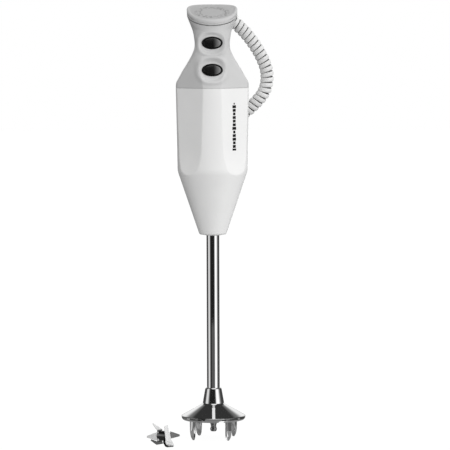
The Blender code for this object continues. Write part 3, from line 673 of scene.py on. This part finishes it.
def make_housing():
    """The turned form with its four flats; its rings lie closest where the flats run out."""
    widths, heights = zip(*HOUSING_LINE)
    levels = np.concatenate([
        heights[:10],
        np.arange(0.1620, 0.2040, 0.0014),
        np.arange(0.2040, 0.2320, 0.0004),
        np.arange(0.2330, 0.2740, 0.0020),
        heights[-10:],
    ])
    rings = [level_ring(TUBE_HOLE, ANGLES, level) for level in (0.1620, 0.1598)]
    for level in np.unique(np.round(levels, 6)):
        reach = least(np.interp(level, heights, widths), flat_reach(level), EDGE_SOFTNESS)
        rings.append(level_ring(reach, ANGLES, level))
    rings.append(rings[-1] * (0.92, 0.92, 1.0))
    shell = lowered(skin("housing_surface", rings, PALE, ends=False, creases=50))
    settle(shell, "pale_shell", "motor_housing")


PRINT_TOP = 0.2638
PRINT_SHIFT = 0.0007
INK_THICKNESS = 0.00004
BAR_HEIGHT = 0.0022
BAR_GAP = 0.0006
BAR_WIDTHS = (1.3, 3.9, 3.2, 2.6, 3.4, 3.0, 3.3, 4.2, 2.4, 3.4, 3.8, 2.8, 3.3, 4.0, 3.1)  # millimetres


def make_print():
    """A plain column of short printed bars down the right-hand flat, in place of lettering."""
    points = []
    faces = []
    out = (FLAT_DISTANCE + INK_THICKNESS) * math.sqrt(0.5)
    level = PRINT_TOP
    for wide in BAR_WIDTHS:
        tall = min(BAR_HEIGHT, wide / 1000)
        for across, up in ((-0.5, -tall), (0.5, -tall), (0.5, 0), (-0.5, 0)):
            along = (across * wide / 1000 - PRINT_SHIFT) * math.sqrt(0.5)
            points.append((out + along, along - out, level + up))
        faces.append(tuple(range(len(points) - 4, len(points))))
        level -= tall + BAR_GAP
    ink = lowered(new_object("printed_bars", points, faces, RUBBER))
    settle(ink, "black_rubber")


make_housing()
make_print()


# Handle

SEAM_LEVEL = 0.2753
SEAM_RADIUS = 0.02845
HALF_WIDTHS = (  # height and half width
    (SEAM_LEVEL, SEAM_RADIUS), (0.2790, 0.0283), (0.2805, 0.0276), (0.2826, 0.02635), (0.2857, 0.0246),
    (0.2888, 0.0230), (0.2919, 0.0209), (0.2950, 0.0191), (0.2981, 0.01725), (0.3012, 0.01565),
    (0.3044, 0.0143), (0.3070, 0.01365), (0.3106, 0.0136), (0.3138, 0.01405), (0.3170, 0.01455),
    (0.3200, 0.0152), (0.3260, 0.0174), (0.3292, 0.01865), (0.3323, 0.0198),
)
REAR_DEPTHS = (  # height and distance of the rear from the axis
    (SEAM_LEVEL, SEAM_RADIUS), (0.2785, 0.0284), (0.2805, 0.0278), (0.2920, 0.0228), (0.3015, 0.0180),
    (0.3076, 0.0160), (0.3138, 0.0158), (0.3200, 0.0166), (0.3292, 0.0190),
)
FACE_SLANT = math.radians(10)
CAP_SLANT = math.radians(17)
HANDLE_TOP = 0.3292
CAP_HALF = 0.0198
CAP_FRONT = 0.0200
CAP_REAR = 0.0202
CAP_WIDEST = 0.0095
# Each button seat: its middle, height, half width and half height
SEATS = ((-0.0004, 0.31015, 0.0099, 0.0086), (-0.0001, 0.2892, 0.0104, 0.0090))
SEAT_DEPTH = 0.0022
RIM_HEIGHT = 0.0009
RIM_PLACE = 1.12
RIM_SPREAD = 0.17
POCKET_WIDE = 0.0080
POCKET_TALL = 0.00475
POCKET_DEPTH = 0.0060
FACE_MIDDLE = 0.3000
BUTTON_OFFSET = 0.0106
BUTTON_HEIGHTS = [FACE_MIDDLE + way * BUTTON_OFFSET * math.cos(FACE_SLANT) for way in (1, -1)]


def read_soft(table, level, reach=0.0012):
    """A value from (level, value) rows, with the corners of the line rounded."""
    rows = np.array(table)
    around = np.linspace(-reach, reach, 7)
    return float(np.mean(np.interp(level + around, rows[:, 0], rows[:, 1])))


def handle_ring(level, angles):
    """One ring of the handle, tilted with the cap towards the top, and which points face forward."""
    front = SEAM_RADIUS - (level - SEAM_LEVEL) * math.tan(FACE_SLANT)
    rear = read_soft(REAR_DEPTHS, level)
    ahead = np.sin(angles) < 0
    neck = float(blend(0.276, 0.302, level))
    tip = float(blend(0.312, HANDLE_TOP, level))
    widest = CAP_WIDEST * tip
    half = read_soft(HALF_WIDTHS, level + tip * widest * math.tan(CAP_SLANT))
    power = 2 + 3.6 * neck - 3.5 * float(blend(0.304, 0.324, level))
    rear_power = 2 + 0.8 * neck + 0.3 * tip
    depth = np.where(ahead, front + widest, rear - widest)
    shape = np.where(ahead, superellipse(angles, power), superellipse(angles, rear_power))
    x = half * shape * np.cos(angles)
    y = widest + depth * shape * np.sin(angles)
    away = np.hypot(x, y)
    bearing = np.arctan2(y, x)
    to_flat = np.abs(np.mod(bearing, math.pi / 2) - math.pi / 4)
    flats = (FLAT_DISTANCE + 0.004 * float(blend(0.300, 0.316, level))) / np.cos(to_flat)
    share = least(away, flats, EDGE_SOFTNESS + 0.0022 * neck) / away
    x = x * share
    y = y * share
    z = level + tip * y * math.tan(CAP_SLANT)
    return x, y, z, ahead


def seat_shape(x, z):
    """How far the front panel stands out (+) or sinks (-) round the two button seats."""
    out = np.zeros_like(x)
    rim = np.zeros_like(x)
    for middle, height, wide, tall in SEATS:
        u = np.abs((x - middle) / wide)
        v = np.abs((z - height) / tall)
        q = (u**2.2 + v**2.2) ** (1 / 2.2)
        ridge = np.exp(-(((q - RIM_PLACE) / RIM_SPREAD) ** 2))
        rim = np.maximum(rim, ridge + (q < RIM_PLACE) * (1 - ridge))
        out -= SEAT_DEPTH * (1 - blend(0.72, RIM_PLACE, q))
    for height in BUTTON_HEIGHTS:
        e = np.hypot(x / POCKET_WIDE, (z - height) / POCKET_TALL)
        out -= POCKET_DEPTH * (1 - blend(0.88, 1.0, e))
    return out + RIM_HEIGHT * rim


def make_handle():
    """The grey shell, its front panel pushed in and out round the buttons."""
    angles = all_round(420) + 0.001
    middle = np.arange(0.2760, HANDLE_TOP, 0.0004)
    rings = []
    for level in (0.2751, SEAM_LEVEL, *middle, HANDLE_TOP - 0.0003, HANDLE_TOP):
        x, y, z, ahead = handle_ring(level, angles)
        half = read_soft(HALF_WIDTHS, level)
        facing = np.where(ahead, blend(0.50, 0.86, -y / np.max(-y)), 0)
        fade = float(blend(0.2762, 0.2795, level)) * float(1 - blend(0.3195, 0.3245, level))
        push = seat_shape(x, z) * facing * fade * (1 - blend(0.90, 1.0, np.abs(x) / half))
        y = y - push * math.cos(FACE_SLANT)
        z = z + push * math.sin(FACE_SLANT)
        rings.append(np.stack([x, y, z], 1))
    rings[0] = rings[0] * (0.996, 0.996, 1)
    rings.insert(0, rings[0] * (0.9, 0.9, 1.0))
    rings.append(rings[-1] * (0.9, 0.9, 1.0))
    handle = lowered(skin("handle_surface", rings, GREY, ends=False, creases=60))
    settle(handle, "grey_shell", "handle_shell")


def cap_ring(lift, inset, angles):
    """One ring of the cap, so far above the handle's top and so far in from the cap's edge."""
    ahead = np.sin(angles) < 0
    reach = np.where(ahead, superellipse(angles, 2.1), superellipse(angles, 3.1))
    x = (CAP_HALF - inset) * reach * np.cos(angles)
    depth = np.where(ahead, CAP_FRONT + CAP_WIDEST, CAP_REAR - CAP_WIDEST) - inset
    y = CAP_WIDEST + depth * reach * np.sin(angles)
    return np.stack([x, y, HANDLE_TOP + 0.0003 + lift + y * math.tan(CAP_SLANT)], 1)


def make_cap():
    """The cap up its side, over its rounded edge and in over its slightly sunken top."""
    thick = 0.0046
    edge = 0.0013
    line = [(0, 0.0014), (0.0002, 0.0006), (0.0008, 0.0001), (0.0015, 0.0002)]
    line += [(0.0017, 0.0004), (0.0019, 0.0001), (0.0032, 0.0)]
    for k in range(1, 9):
        angle = k / 8 * math.pi / 2
        line.append((0.0033 + edge * math.sin(angle), 0.0001 + edge * (1 - math.cos(angle))))
    side_rings = len(line)
    line += [(thick - 0.0001, 0.0019), (thick - 0.0004, 0.0024)]
    line += [(thick - 0.0004, 0.0030 + 0.0010 * k) for k in range(6)]
    angles = all_round(256)
    cap = skin("cap_surface", [cap_ring(a, b, angles) for a, b in line], GREY, creases=60)
    cap.data.materials.append(CAP.material)
    for face in cap.data.polygons:
        if min(face.vertices) >= side_rings * len(angles):
            face.material_index = 1
    settle(lowered(cap), "grey_shell", "top_cap")


MARKS_RADIUS = 0.0112
MARKS_HALF_WIDTH = 0.0026


def make_cap_look():
    """The cap's flat top: darker, rougher, with a faint ring of small raised marks."""
    look = plastic("cap", grey(0.445), grey(0.490), 0.46, 0.00003)
    flat = look.add("ShaderNodeMapping")
    flat.inputs["Scale"].default_value = (1.0, 1.0, 0.0)
    look.link(look.place, flat.inputs["Vector"])
    far = look.add("ShaderNodeVectorMath", operation="LENGTH")
    look.link(flat.outputs["Vector"], far.inputs[0])
    inside = look.add("ShaderNodeMath", operation="COMPARE")
    inside.inputs[1].default_value = MARKS_RADIUS
    inside.inputs[2].default_value = MARKS_HALF_WIDTH
    look.link(far.outputs["Value"], inside.inputs[0])
    dots = look.range(look.noise(520.0, 1.0, (1.0, 1.0, 0.0)), start=0.50, end=0.58)
    marks = look.product(dots, inside.outputs["Value"])
    look.bump(marks, 0.0002, 0.8)
    look.darken(marks, 0.60)
    return look


CAP = make_cap_look()
make_handle()
make_cap()


# Buttons and their rubber rings, in the slanted frame of the button face

FACE_DEPTH = -0.0285 + (FACE_MIDDLE - 0.2750) * math.tan(FACE_SLANT)
FACE = Matrix.Translation(Vector((0, FACE_DEPTH, FACE_MIDDLE)) + FLOOR) @ Matrix.Rotation(-FACE_SLANT, 4, "X")
BUTTON_WIDE = 0.0067
BUTTON_TALL = 0.0039
BUTTON_EDGE = 0.0009


def oval_loft(name, rows, look, offset, **options):
    """Rings of (half width, half height, depth), front first, on the button face."""
    angles = all_round(96)
    rings = []
    for a, b, depth in rows:
        depths = np.full(len(angles), depth)
        rings.append(np.stack([a * np.cos(angles), depths, b * np.sin(angles) + offset], 1))
    thing = skin(name, rings, look, **options)
    thing.data.transform(FACE)
    return thing


def make_buttons():
    """Each cap from its skirt over a rounded edge to its shallow dish, then the rubber ring round it."""
    for side, offset in (("upper", BUTTON_OFFSET), ("lower", -BUTTON_OFFSET)):
        rows = [(BUTTON_WIDE, BUTTON_TALL, 0.0050), (BUTTON_WIDE, BUTTON_TALL, 0.0012)]
        for k in range(1, 9):
            angle = k / 8 * math.pi / 2
            inset = BUTTON_EDGE * (1 - math.cos(angle))
            rows.append((BUTTON_WIDE - inset, BUTTON_TALL - inset, 0.0014 - 0.0007 * math.sin(angle)))
        for k in range(1, 12):
            share = 1 - k / 12
            wide, tall = BUTTON_WIDE - BUTTON_EDGE, BUTTON_TALL - BUTTON_EDGE
            rows.append((wide * share, tall * share, 0.0007 - 0.0002 * (1 - share**2)))
        rows.append((0.0001, 0.0001, 0.0005))
        button = oval_loft(f"button_cap_{side}", rows[::-1], BUTTON, offset, creases=60)
        settle(button, "button_plastic", f"button_{side}", body=f"{side}_button")
        rows = [(0.00685, 0.00405, 0.0038), (0.00685, 0.00405, 0.0013)]
        for k in range(9):
            angle = k / 8 * math.pi
            out = 0.0005 * (1 - math.cos(angle))
            rows.append((0.00690 + out * 1.25, 0.00410 + out * 0.84, 0.0013 - 0.0006 * math.sin(angle)))
        rows.append((0.00820, 0.00495, 0.0038))
        seal = oval_loft(f"seal_ring_{side}", rows, RUBBER, offset, ends=False)
        settle(seal, "black_rubber", f"button_seal_{side}")


make_buttons()


# Shaft tube, guard and drive pin


def make_tube():
    line = [(0.0042, 0.0318), (0.00495, 0.0316), (0.0050, 0.0317), (0.0050, 0.1759), (0.0042, 0.1760)]
    tube = turned("tube_surface", line, CHROME, 128, ends=False, creases=15)
    settle(tube, "chrome", "shaft_tube")


# Beyond these distances the rim's sides take the darker pin steel, a painted shade on the chrome
RIM_FROM = 0.0246
RIM_SIDES_FROM = 0.009
FIRST_FOOT = 35.5
FOOT_DISTANCE = 0.0200
FOOT_INNER = -0.00120
FOOT_CROWN = 0.00032
FOOT_SHAPE = (  # height, outer side and half width
    (0.0192, 0.00100, 0.00262), (0.0130, 0.00098, 0.00258), (0.0085, 0.00095, 0.00252),
    (0.0060, 0.00085, 0.00244), (0.0040, 0.00062, 0.00226), (0.0024, 0.00030, 0.00200),
    (0.0012, -0.00005, 0.00160), (0.0005, -0.00030, 0.00115), (0.0000, -0.00050, 0.00055),
)


def make_guard():
    """The hub and bell in one turned piece, and the four feet with their rounded edges."""
    line = [
        (0.0050, 0.0314), (0.0050, 0.0200), (0.0066, 0.0200), (0.0068, 0.0240), (0.0095, 0.0240),
        (0.0215, 0.0171), (0.0222, 0.0158), (0.0227, 0.0150), (0.0238, 0.0150), (0.0249, 0.0163),
        (0.0251, 0.0181), (0.0239, 0.0187), (0.0093, 0.0270), (0.0083, 0.0280), (0.0083, 0.0284),
        (0.0064, 0.0393), (0.0060, 0.0400), (0.0053, 0.0400), (0.0053, 0.0314),
    ]
    sizes = [0, 0.0002, 0.0002, 0.0002, 0.001, 0.0006, 0.0003, 0.0003, 0.0003, 0.0003, 0.0004]
    sizes += [0.0012, 0.0011, 0.0004, 0.0006, 0.0004, 0.0002, 0.0002, 0]
    line = filleted(line, sizes, 6)
    guard = turned("guard_surface", line, CHROME, 192, ends=False)
    # Painted shade: the rim's faces left and right of the middle take the darker pin steel.
    guard.data.materials.append(PIN_STEEL.material)
    for face in guard.data.polygons:
        if face.center.xy.length > RIM_FROM and abs(face.center.x) > RIM_SIDES_FROM:
            face.material_index = 1
    settle(guard, "chrome", "blade_guard")
    for i in range(4):
        rings = []
        for tall, outer, half in FOOT_SHAPE:
            inner, outer = FOOT_INNER, outer + 0.0002
            crown = FOOT_CROWN * half / 0.0026
            points = [(inner, -half), (outer, -half), (outer + crown, 0), (outer, half), (inner, half)]
            points.append((inner - crown, 0))
            corner = min(0.0006, half * 0.4, (outer - inner) * 0.4)
            sizes = [0, corner, corner, half * 0.5, corner, corner, half * 0.5, 0]
            closed = filleted([points[5], *points, points[0]], sizes, 5)[1:-1]
            rings.append([(FOOT_DISTANCE + a, b, tall) for a, b in closed])
        foot = skin(f"guard_foot_{i}", rings[::-1], CHROME, creases=45)
        turn = Matrix.Rotation(math.radians(FIRST_FOOT + 90 * i), 4, "Z")
        foot.data.transform(Matrix.Translation(FLOOR) @ turn)
        settle(foot, "chrome")


def make_pin():
    """The drive shaft: its flat end, the knob and neck a tool is pushed over, and its long rod."""
    line = [
        (0, 0.0055), (0.00175, 0.0055), (0.0023, 0.0060), (0.00262, 0.0068), (0.00266, 0.0073),
        (0.00252, 0.0081), (0.00222, 0.0088), (0.00215, 0.0095), (0.00226, 0.0106), (0.00262, 0.0116),
        (0.00268, 0.0125), (0.00262, 0.0138), (0.0025, 0.0146), (0.0025, 0.1900), (0, 0.1900),
    ]
    pin = turned("pin_surface", filleted(line, 0.0003), PIN_STEEL, 64)
    settle(pin, "shaft_steel", "drive_shaft", body="rotor")


# Loose blade: two stamped crosses on a short barrel, lying on two of their arms

BARREL_MIDDLE = Vector((-0.0383, -0.0420, 0.0076))
BARREL_TURN = (math.pi / 2, 0, math.radians(55))
UP = (0, 0, 1)
ACROSS = (0.574, 0.819, 0.0)
LEANING = (0, -0.6, 0.8)
SHEET = 0.0008
# Each arm, in millimetres: name, points along it, widths at them, direction across it, look, which is a lit
# or shaded copy of one steel that paints the arm's light or shade
FAR_ARMS = (
    ("far_up", ((-41.5, -39.9, 11.9), (-43.3, -38.6, 13.3), (-46.9, -36.0, 16.3)),
     (6.2, 5.0, 1.0), ACROSS, PAINTED_LIGHT_STEEL),
    ("far_left", ((-42.4, -42.6, 7.2), (-45.6, -40.5, 6.9), (-51.5, -36.6, 6.2)),
     (7.0, 5.4, 1.4), UP, PAINTED_LIGHT_STEEL),
    ("far_down", ((-39.4, -42.0, 2.6), (-44.0, -41.0, 1.9), (-48.4, -40.0, 4.1)),
     (3.0, 3.8, 1.4), LEANING, BLADE),
    ("far_away", ((-39.8, -36.4, 7.5), (-41.6, -34.0, 7.3), (-46.0, -29.5, 7.0)),
     (6.2, 5.6, 1.2), UP, BLADE),
    ("far_plate", ((-41.6, -39.8, 12.3), (-41.6, -39.8, 7.5), (-41.6, -39.8, 2.9)),
     (6.2, 7.4, 6.0), ACROSS, PAINTED_HALF_SHADE_STEEL),
)
NEAR_ARMS = (
    ("near_strip", ((-36.8, -44.9, 15.9), (-36.3, -44.8, 13.0), (-35.4, -44.7, 8.0), (-34.7, -44.9, 4.2),
                    (-34.1, -46.4, 2.8), (-33.5, -51.0, 1.6)),
     (4.4, 5.2, 6.4, 7.0, 7.2, 6.4), ACROSS, PAINTED_LIGHT_STEEL),
    ("near_down", ((-37.6, -43.0, 4.8), (-36.6, -44.6, 2.0), (-34.4, -50.2, 0.6), (-33.4, -52.6, 0.7)),
     (4.6, 5.4, 6.4, 5.6), ACROSS, PAINTED_SHADE_STEEL),
    ("near_right", ((-33.6, -41.6, 8.2), (-31.4, -41.1, 8.0), (-26.2, -40.2, 7.7)),
     (5.6, 4.6, 1.4), UP, PAINTED_HALF_SHADE_STEEL),
    ("near_plate", ((-35.7, -43.1, 10.4), (-35.7, -43.1, 7.5), (-35.7, -43.1, 4.6)),
     (4.0, 5.6, 4.0), (0.857, 0.515, 0), PAINTED_HALF_SHADE_STEEL),
)


def sheet_arm(name, route, widths, across, look):
    """A bent strip of sheet steel through the route's points, with ground edges."""
    points = [Vector(point) / 1000 for point in route]
    across = Vector(across).normalized()
    rings = []
    for i, (point, wide) in enumerate(zip(points, widths)):
        along = direction(points, i)
        side = (across - along * across.dot(along)).normalized()
        up = along.cross(side)
        half = wide / 2000
        edge = min(0.0003, half * 0.6)
        section = [(-half, -0.0001), (-half + edge, -SHEET / 2), (half - edge, -SHEET / 2), (half, -0.0001)]
        section += [(-a, -b) for a, b in section]
        rings.append([point + side * a + up * b for a, b in section])
    return lowered(skin(name, rings, look, creases=25))


def make_blade():
    """The barrel and the arms of both crosses; each cross's middle plate stands for its CAD piece."""
    rows = [(0.0, -0.0044), (0.0036, -0.0044), (0.0039, -0.0041), (0.0039, 0.0029), (0.0037, 0.0032)]
    rows += [(0.0029, 0.0032), (0.0029, -0.0030), (0.0, -0.0030)]
    # The barrel takes the shaded copy of the steel, a painted shade.
    hub = turned("blade_barrel", filleted(rows, 0.0002), PAINTED_SHADE_STEEL, 64, BARREL_MIDDLE, BARREL_TURN)
    settle(hub, "shaft_steel", "blade_hub", body="loose_blade")
    for arms, node in ((FAR_ARMS, "blade_lower"), (NEAR_ARMS, "blade_upper")):
        for name, route, widths, across, look in arms:
            arm = sheet_arm(name, route, widths, across, look)
            nodes = [node] if name.endswith("plate") else []
            settle(arm, "blade_steel", *nodes, body="loose_blade")


make_tube()
make_guard()
make_pin()
make_blade()


# Floor, cards and light

FLOOR_HALF = 6.0
CARD_LEVEL = -PIN_END - 0.0002
LAMP_WAY = (0.09, -0.46, 0.885)
BEHIND_GREY = 0.92
ABOVE_GREY = 1.04
BELOW_GREY = 0.40


def make_sheet(name, outline, base, glow, strength):
    """A flat piece of the stage that glows by itself and lights nothing matt."""
    look = bpy.data.materials.new(name + "_look")
    look.use_nodes = True
    shader = look.node_tree.nodes["Principled BSDF"]
    shader.inputs["Base Color"].default_value = (*grey(base), 1)
    shader.inputs["Roughness"].default_value = 1.0
    shader.inputs["Specular IOR Level"].default_value = 0.0
    shader.inputs["Emission Color"].default_value = (*grey(glow), 1)
    shader.inputs["Emission Strength"].default_value = strength
    mesh = bpy.data.meshes.new(name)
    mesh.from_pydata(outline, [], [tuple(range(len(outline)))])
    mesh.materials.append(look)
    sheet = bpy.data.objects.new(name, mesh)
    bpy.context.scene.collection.objects.link(sheet)
    sheet.visible_diffuse = False
    return sheet


def make_floor():
    corners = ((-1, -1), (1, -1), (1, 1), (-1, 1))
    outline = [(x * FLOOR_HALF, y * FLOOR_HALF, -PIN_END) for x, y in corners]
    floor = make_sheet("floor", outline, 0.06, 1.0, 0.97)
    floor.visible_glossy = False


def make_card(name, outline, value):
    """A plain card that only the bright metal sees."""
    card = make_sheet(name, outline, 0.0, value, 1.0)
    card.visible_camera = False
    card.visible_transmission = False
    card.visible_shadow = False


def make_cards():
    """Grey cards on the floor for the metal: bearings in degrees from the camera's side, + to the right."""

    def sector(name, near, far, start, end, value):
        bearings = np.radians(np.linspace(start, end, 12))
        inner = [(near * math.sin(a), -near * math.cos(a), CARD_LEVEL) for a in bearings]
        outer = [(far * math.sin(a), -far * math.cos(a), CARD_LEVEL) for a in bearings[::-1]]
        make_card(name, [*inner, *outer], value)

    under = ((-180, -40, 0.20), (-40, 14, 0.02), (14, 36, 0.90), (36, 180, 0.16))
    nearest = ((-180, -40, 0.20), (-40, 16, 0.22), (16, 32, 1.15), (32, 180, 0.26))
    near = ((-180, -15, 0.26), (-15, 20, 0.24), (20, 42, 1.00), (42, 180, 0.30))
    middle = (
        (-180, -150, 0.30), (-150, -126, 0.14), (-126, -100, 0.26), (-100, -84, 0.65), (-84, -40, 0.12),
        (-40, -26, 0.02), (-26, 26, 0.20), (26, 40, 0.02), (40, 52, 0.25), (52, 88, 0.11),
        (88, 100, 0.50), (100, 140, 0.10), (140, 180, 0.25),
    )
    for ring, inner, outer, rows in (
        ("under", 0.0010, 0.0200, under),
        ("nearest", 0.0201, 0.0275, nearest),
        ("near", 0.0276, 0.0560, near),
        ("middle", 0.0561, 0.2200, middle),
    ):
        for i, (start, end, value) in enumerate(rows):
            sector(f"{ring}_card_{i}", inner, outer, start, end, value)
    sector("front_card", 0.2800, 0.9200, -27, 27, 0.10)


def make_world():
    """White to look at; a studio of strips and soft boxes in the metal; a soft light from the right."""
    world = bpy.data.worlds.new("studio")
    bpy.context.scene.world = world
    world.use_nodes = True
    tree = world.node_tree
    nodes = tree.nodes
    nodes.clear()
    link = tree.links.new

    def math_node(operation, a, b):
        node = nodes.new("ShaderNodeMath")
        node.operation = operation
        link(a, node.inputs[0])
        if isinstance(b, float):
            node.inputs[1].default_value = b
        else:
            link(b, node.inputs[1])
        return node.outputs["Value"]

    def ramp(source, stops):
        node = nodes.new("ShaderNodeValToRGB")
        node.color_ramp.interpolation = "EASE"
        elements = node.color_ramp.elements
        for element, (place, value) in zip(elements, (stops[0], stops[-1])):
            element.position, element.color = place, (*grey(value), 1)
        for place, value in stops[1:-1]:
            elements.new(place).color = (*grey(value), 1)
        link(source, node.inputs["Fac"])
        return node.outputs["Color"]

    def mix(share, a, b):
        """From a to b by share; a number for b is that grey."""
        node = nodes.new("ShaderNodeMix")
        node.data_type = "RGBA"
        link(share, node.inputs[0])
        link(a, node.inputs[MIX_A])
        if isinstance(b, float):
            node.inputs[MIX_B].default_value = (*grey(b), 1)
        else:
            link(b, node.inputs[MIX_B])
        return node.outputs[MIX_OUT]

    place = nodes.new("ShaderNodeTexCoord").outputs["Generated"]
    split = nodes.new("ShaderNodeSeparateXYZ")
    link(place, split.inputs["Vector"])
    ahead = math_node("MULTIPLY", split.outputs["Y"], -1.0)
    bearing = math_node("ARCTAN2", split.outputs["X"], ahead)
    bearing = math_node("ADD", math_node("MULTIPLY", bearing, 0.5 / math.pi), 0.5)

    def around(rows):
        """A ramp over the bearing, from (degrees, value) rows."""
        return ramp(bearing, [(0.5 + angle / 360, value) for angle, value in rows])

    strips = around([
        (-180, 0.12), (-150, 0.08), (-130, 0.06), (-110, 0.05), (-98, 0.16), (-86, 0.80), (-66, 0.76),
        (-52, 0.14), (-40, 0.015), (16, 0.015), (26, 0.12), (36, 1.05), (58, 1.25), (72, 0.80), (86, 0.20),
        (104, 0.06), (140, 0.05), (160, 0.08), (180, 0.12),
    ])
    height = split.outputs["Z"]
    behind = around([(-180, 1.0), (-157, 1.0), (-138, 0.0), (138, 0.0), (157, 1.0), (180, 1.0)])
    raised = ramp(height, [(0.0, 0.0), (0.03, 1.0), (1.0, 1.0)])
    strips = mix(math_node("MULTIPLY", behind, raised), strips, BEHIND_GREY)
    roof = ramp(height, [(0.0, 0.0), (0.36, 0.0), (0.62, 0.85), (0.74, 1.0), (1.0, 1.0)])
    toward = nodes.new("ShaderNodeVectorMath")
    toward.operation = "DOT_PRODUCT"
    link(place, toward.inputs[0])
    toward.inputs[1].default_value = LAMP_WAY
    lamp = ramp(toward.outputs["Value"], [(0.0, 0.035), (0.880, 0.035), (0.910, 1.0), (1.0, 1.0)])
    shine = mix(roof, strips, lamp)
    sides = around([
        (-180, 0.25), (-120, 0.03), (-80, 0.14), (-45, 0.70), (0, 1.56), (66, 1.74), (120, 1.52), (180, 0.25),
    ])
    above = ramp(height, [(0.0, 0.0), (0.4, 0.15), (1.0, 1.0)])
    soft = mix(above, sides, ABOVE_GREY)
    below = ramp(math_node("MULTIPLY", height, -1.0), [(0.0, 0.0), (0.15, 0.3), (0.6, 1.0), (1.0, 1.0)])
    soft = mix(below, soft, BELOW_GREY)
    path = nodes.new("ShaderNodeLightPath")
    seen = mix(path.outputs["Is Glossy Ray"], soft, shine)
    final = mix(path.outputs["Is Camera Ray"], seen, 1.0)
    background = nodes.new("ShaderNodeBackground")
    link(final, background.inputs["Color"])
    out = nodes.new("ShaderNodeOutputWorld")
    link(background.outputs["Background"], out.inputs["Surface"])
    bpy.context.scene.view_settings.view_transform = "Standard"


make_floor()
make_cards()
make_world()
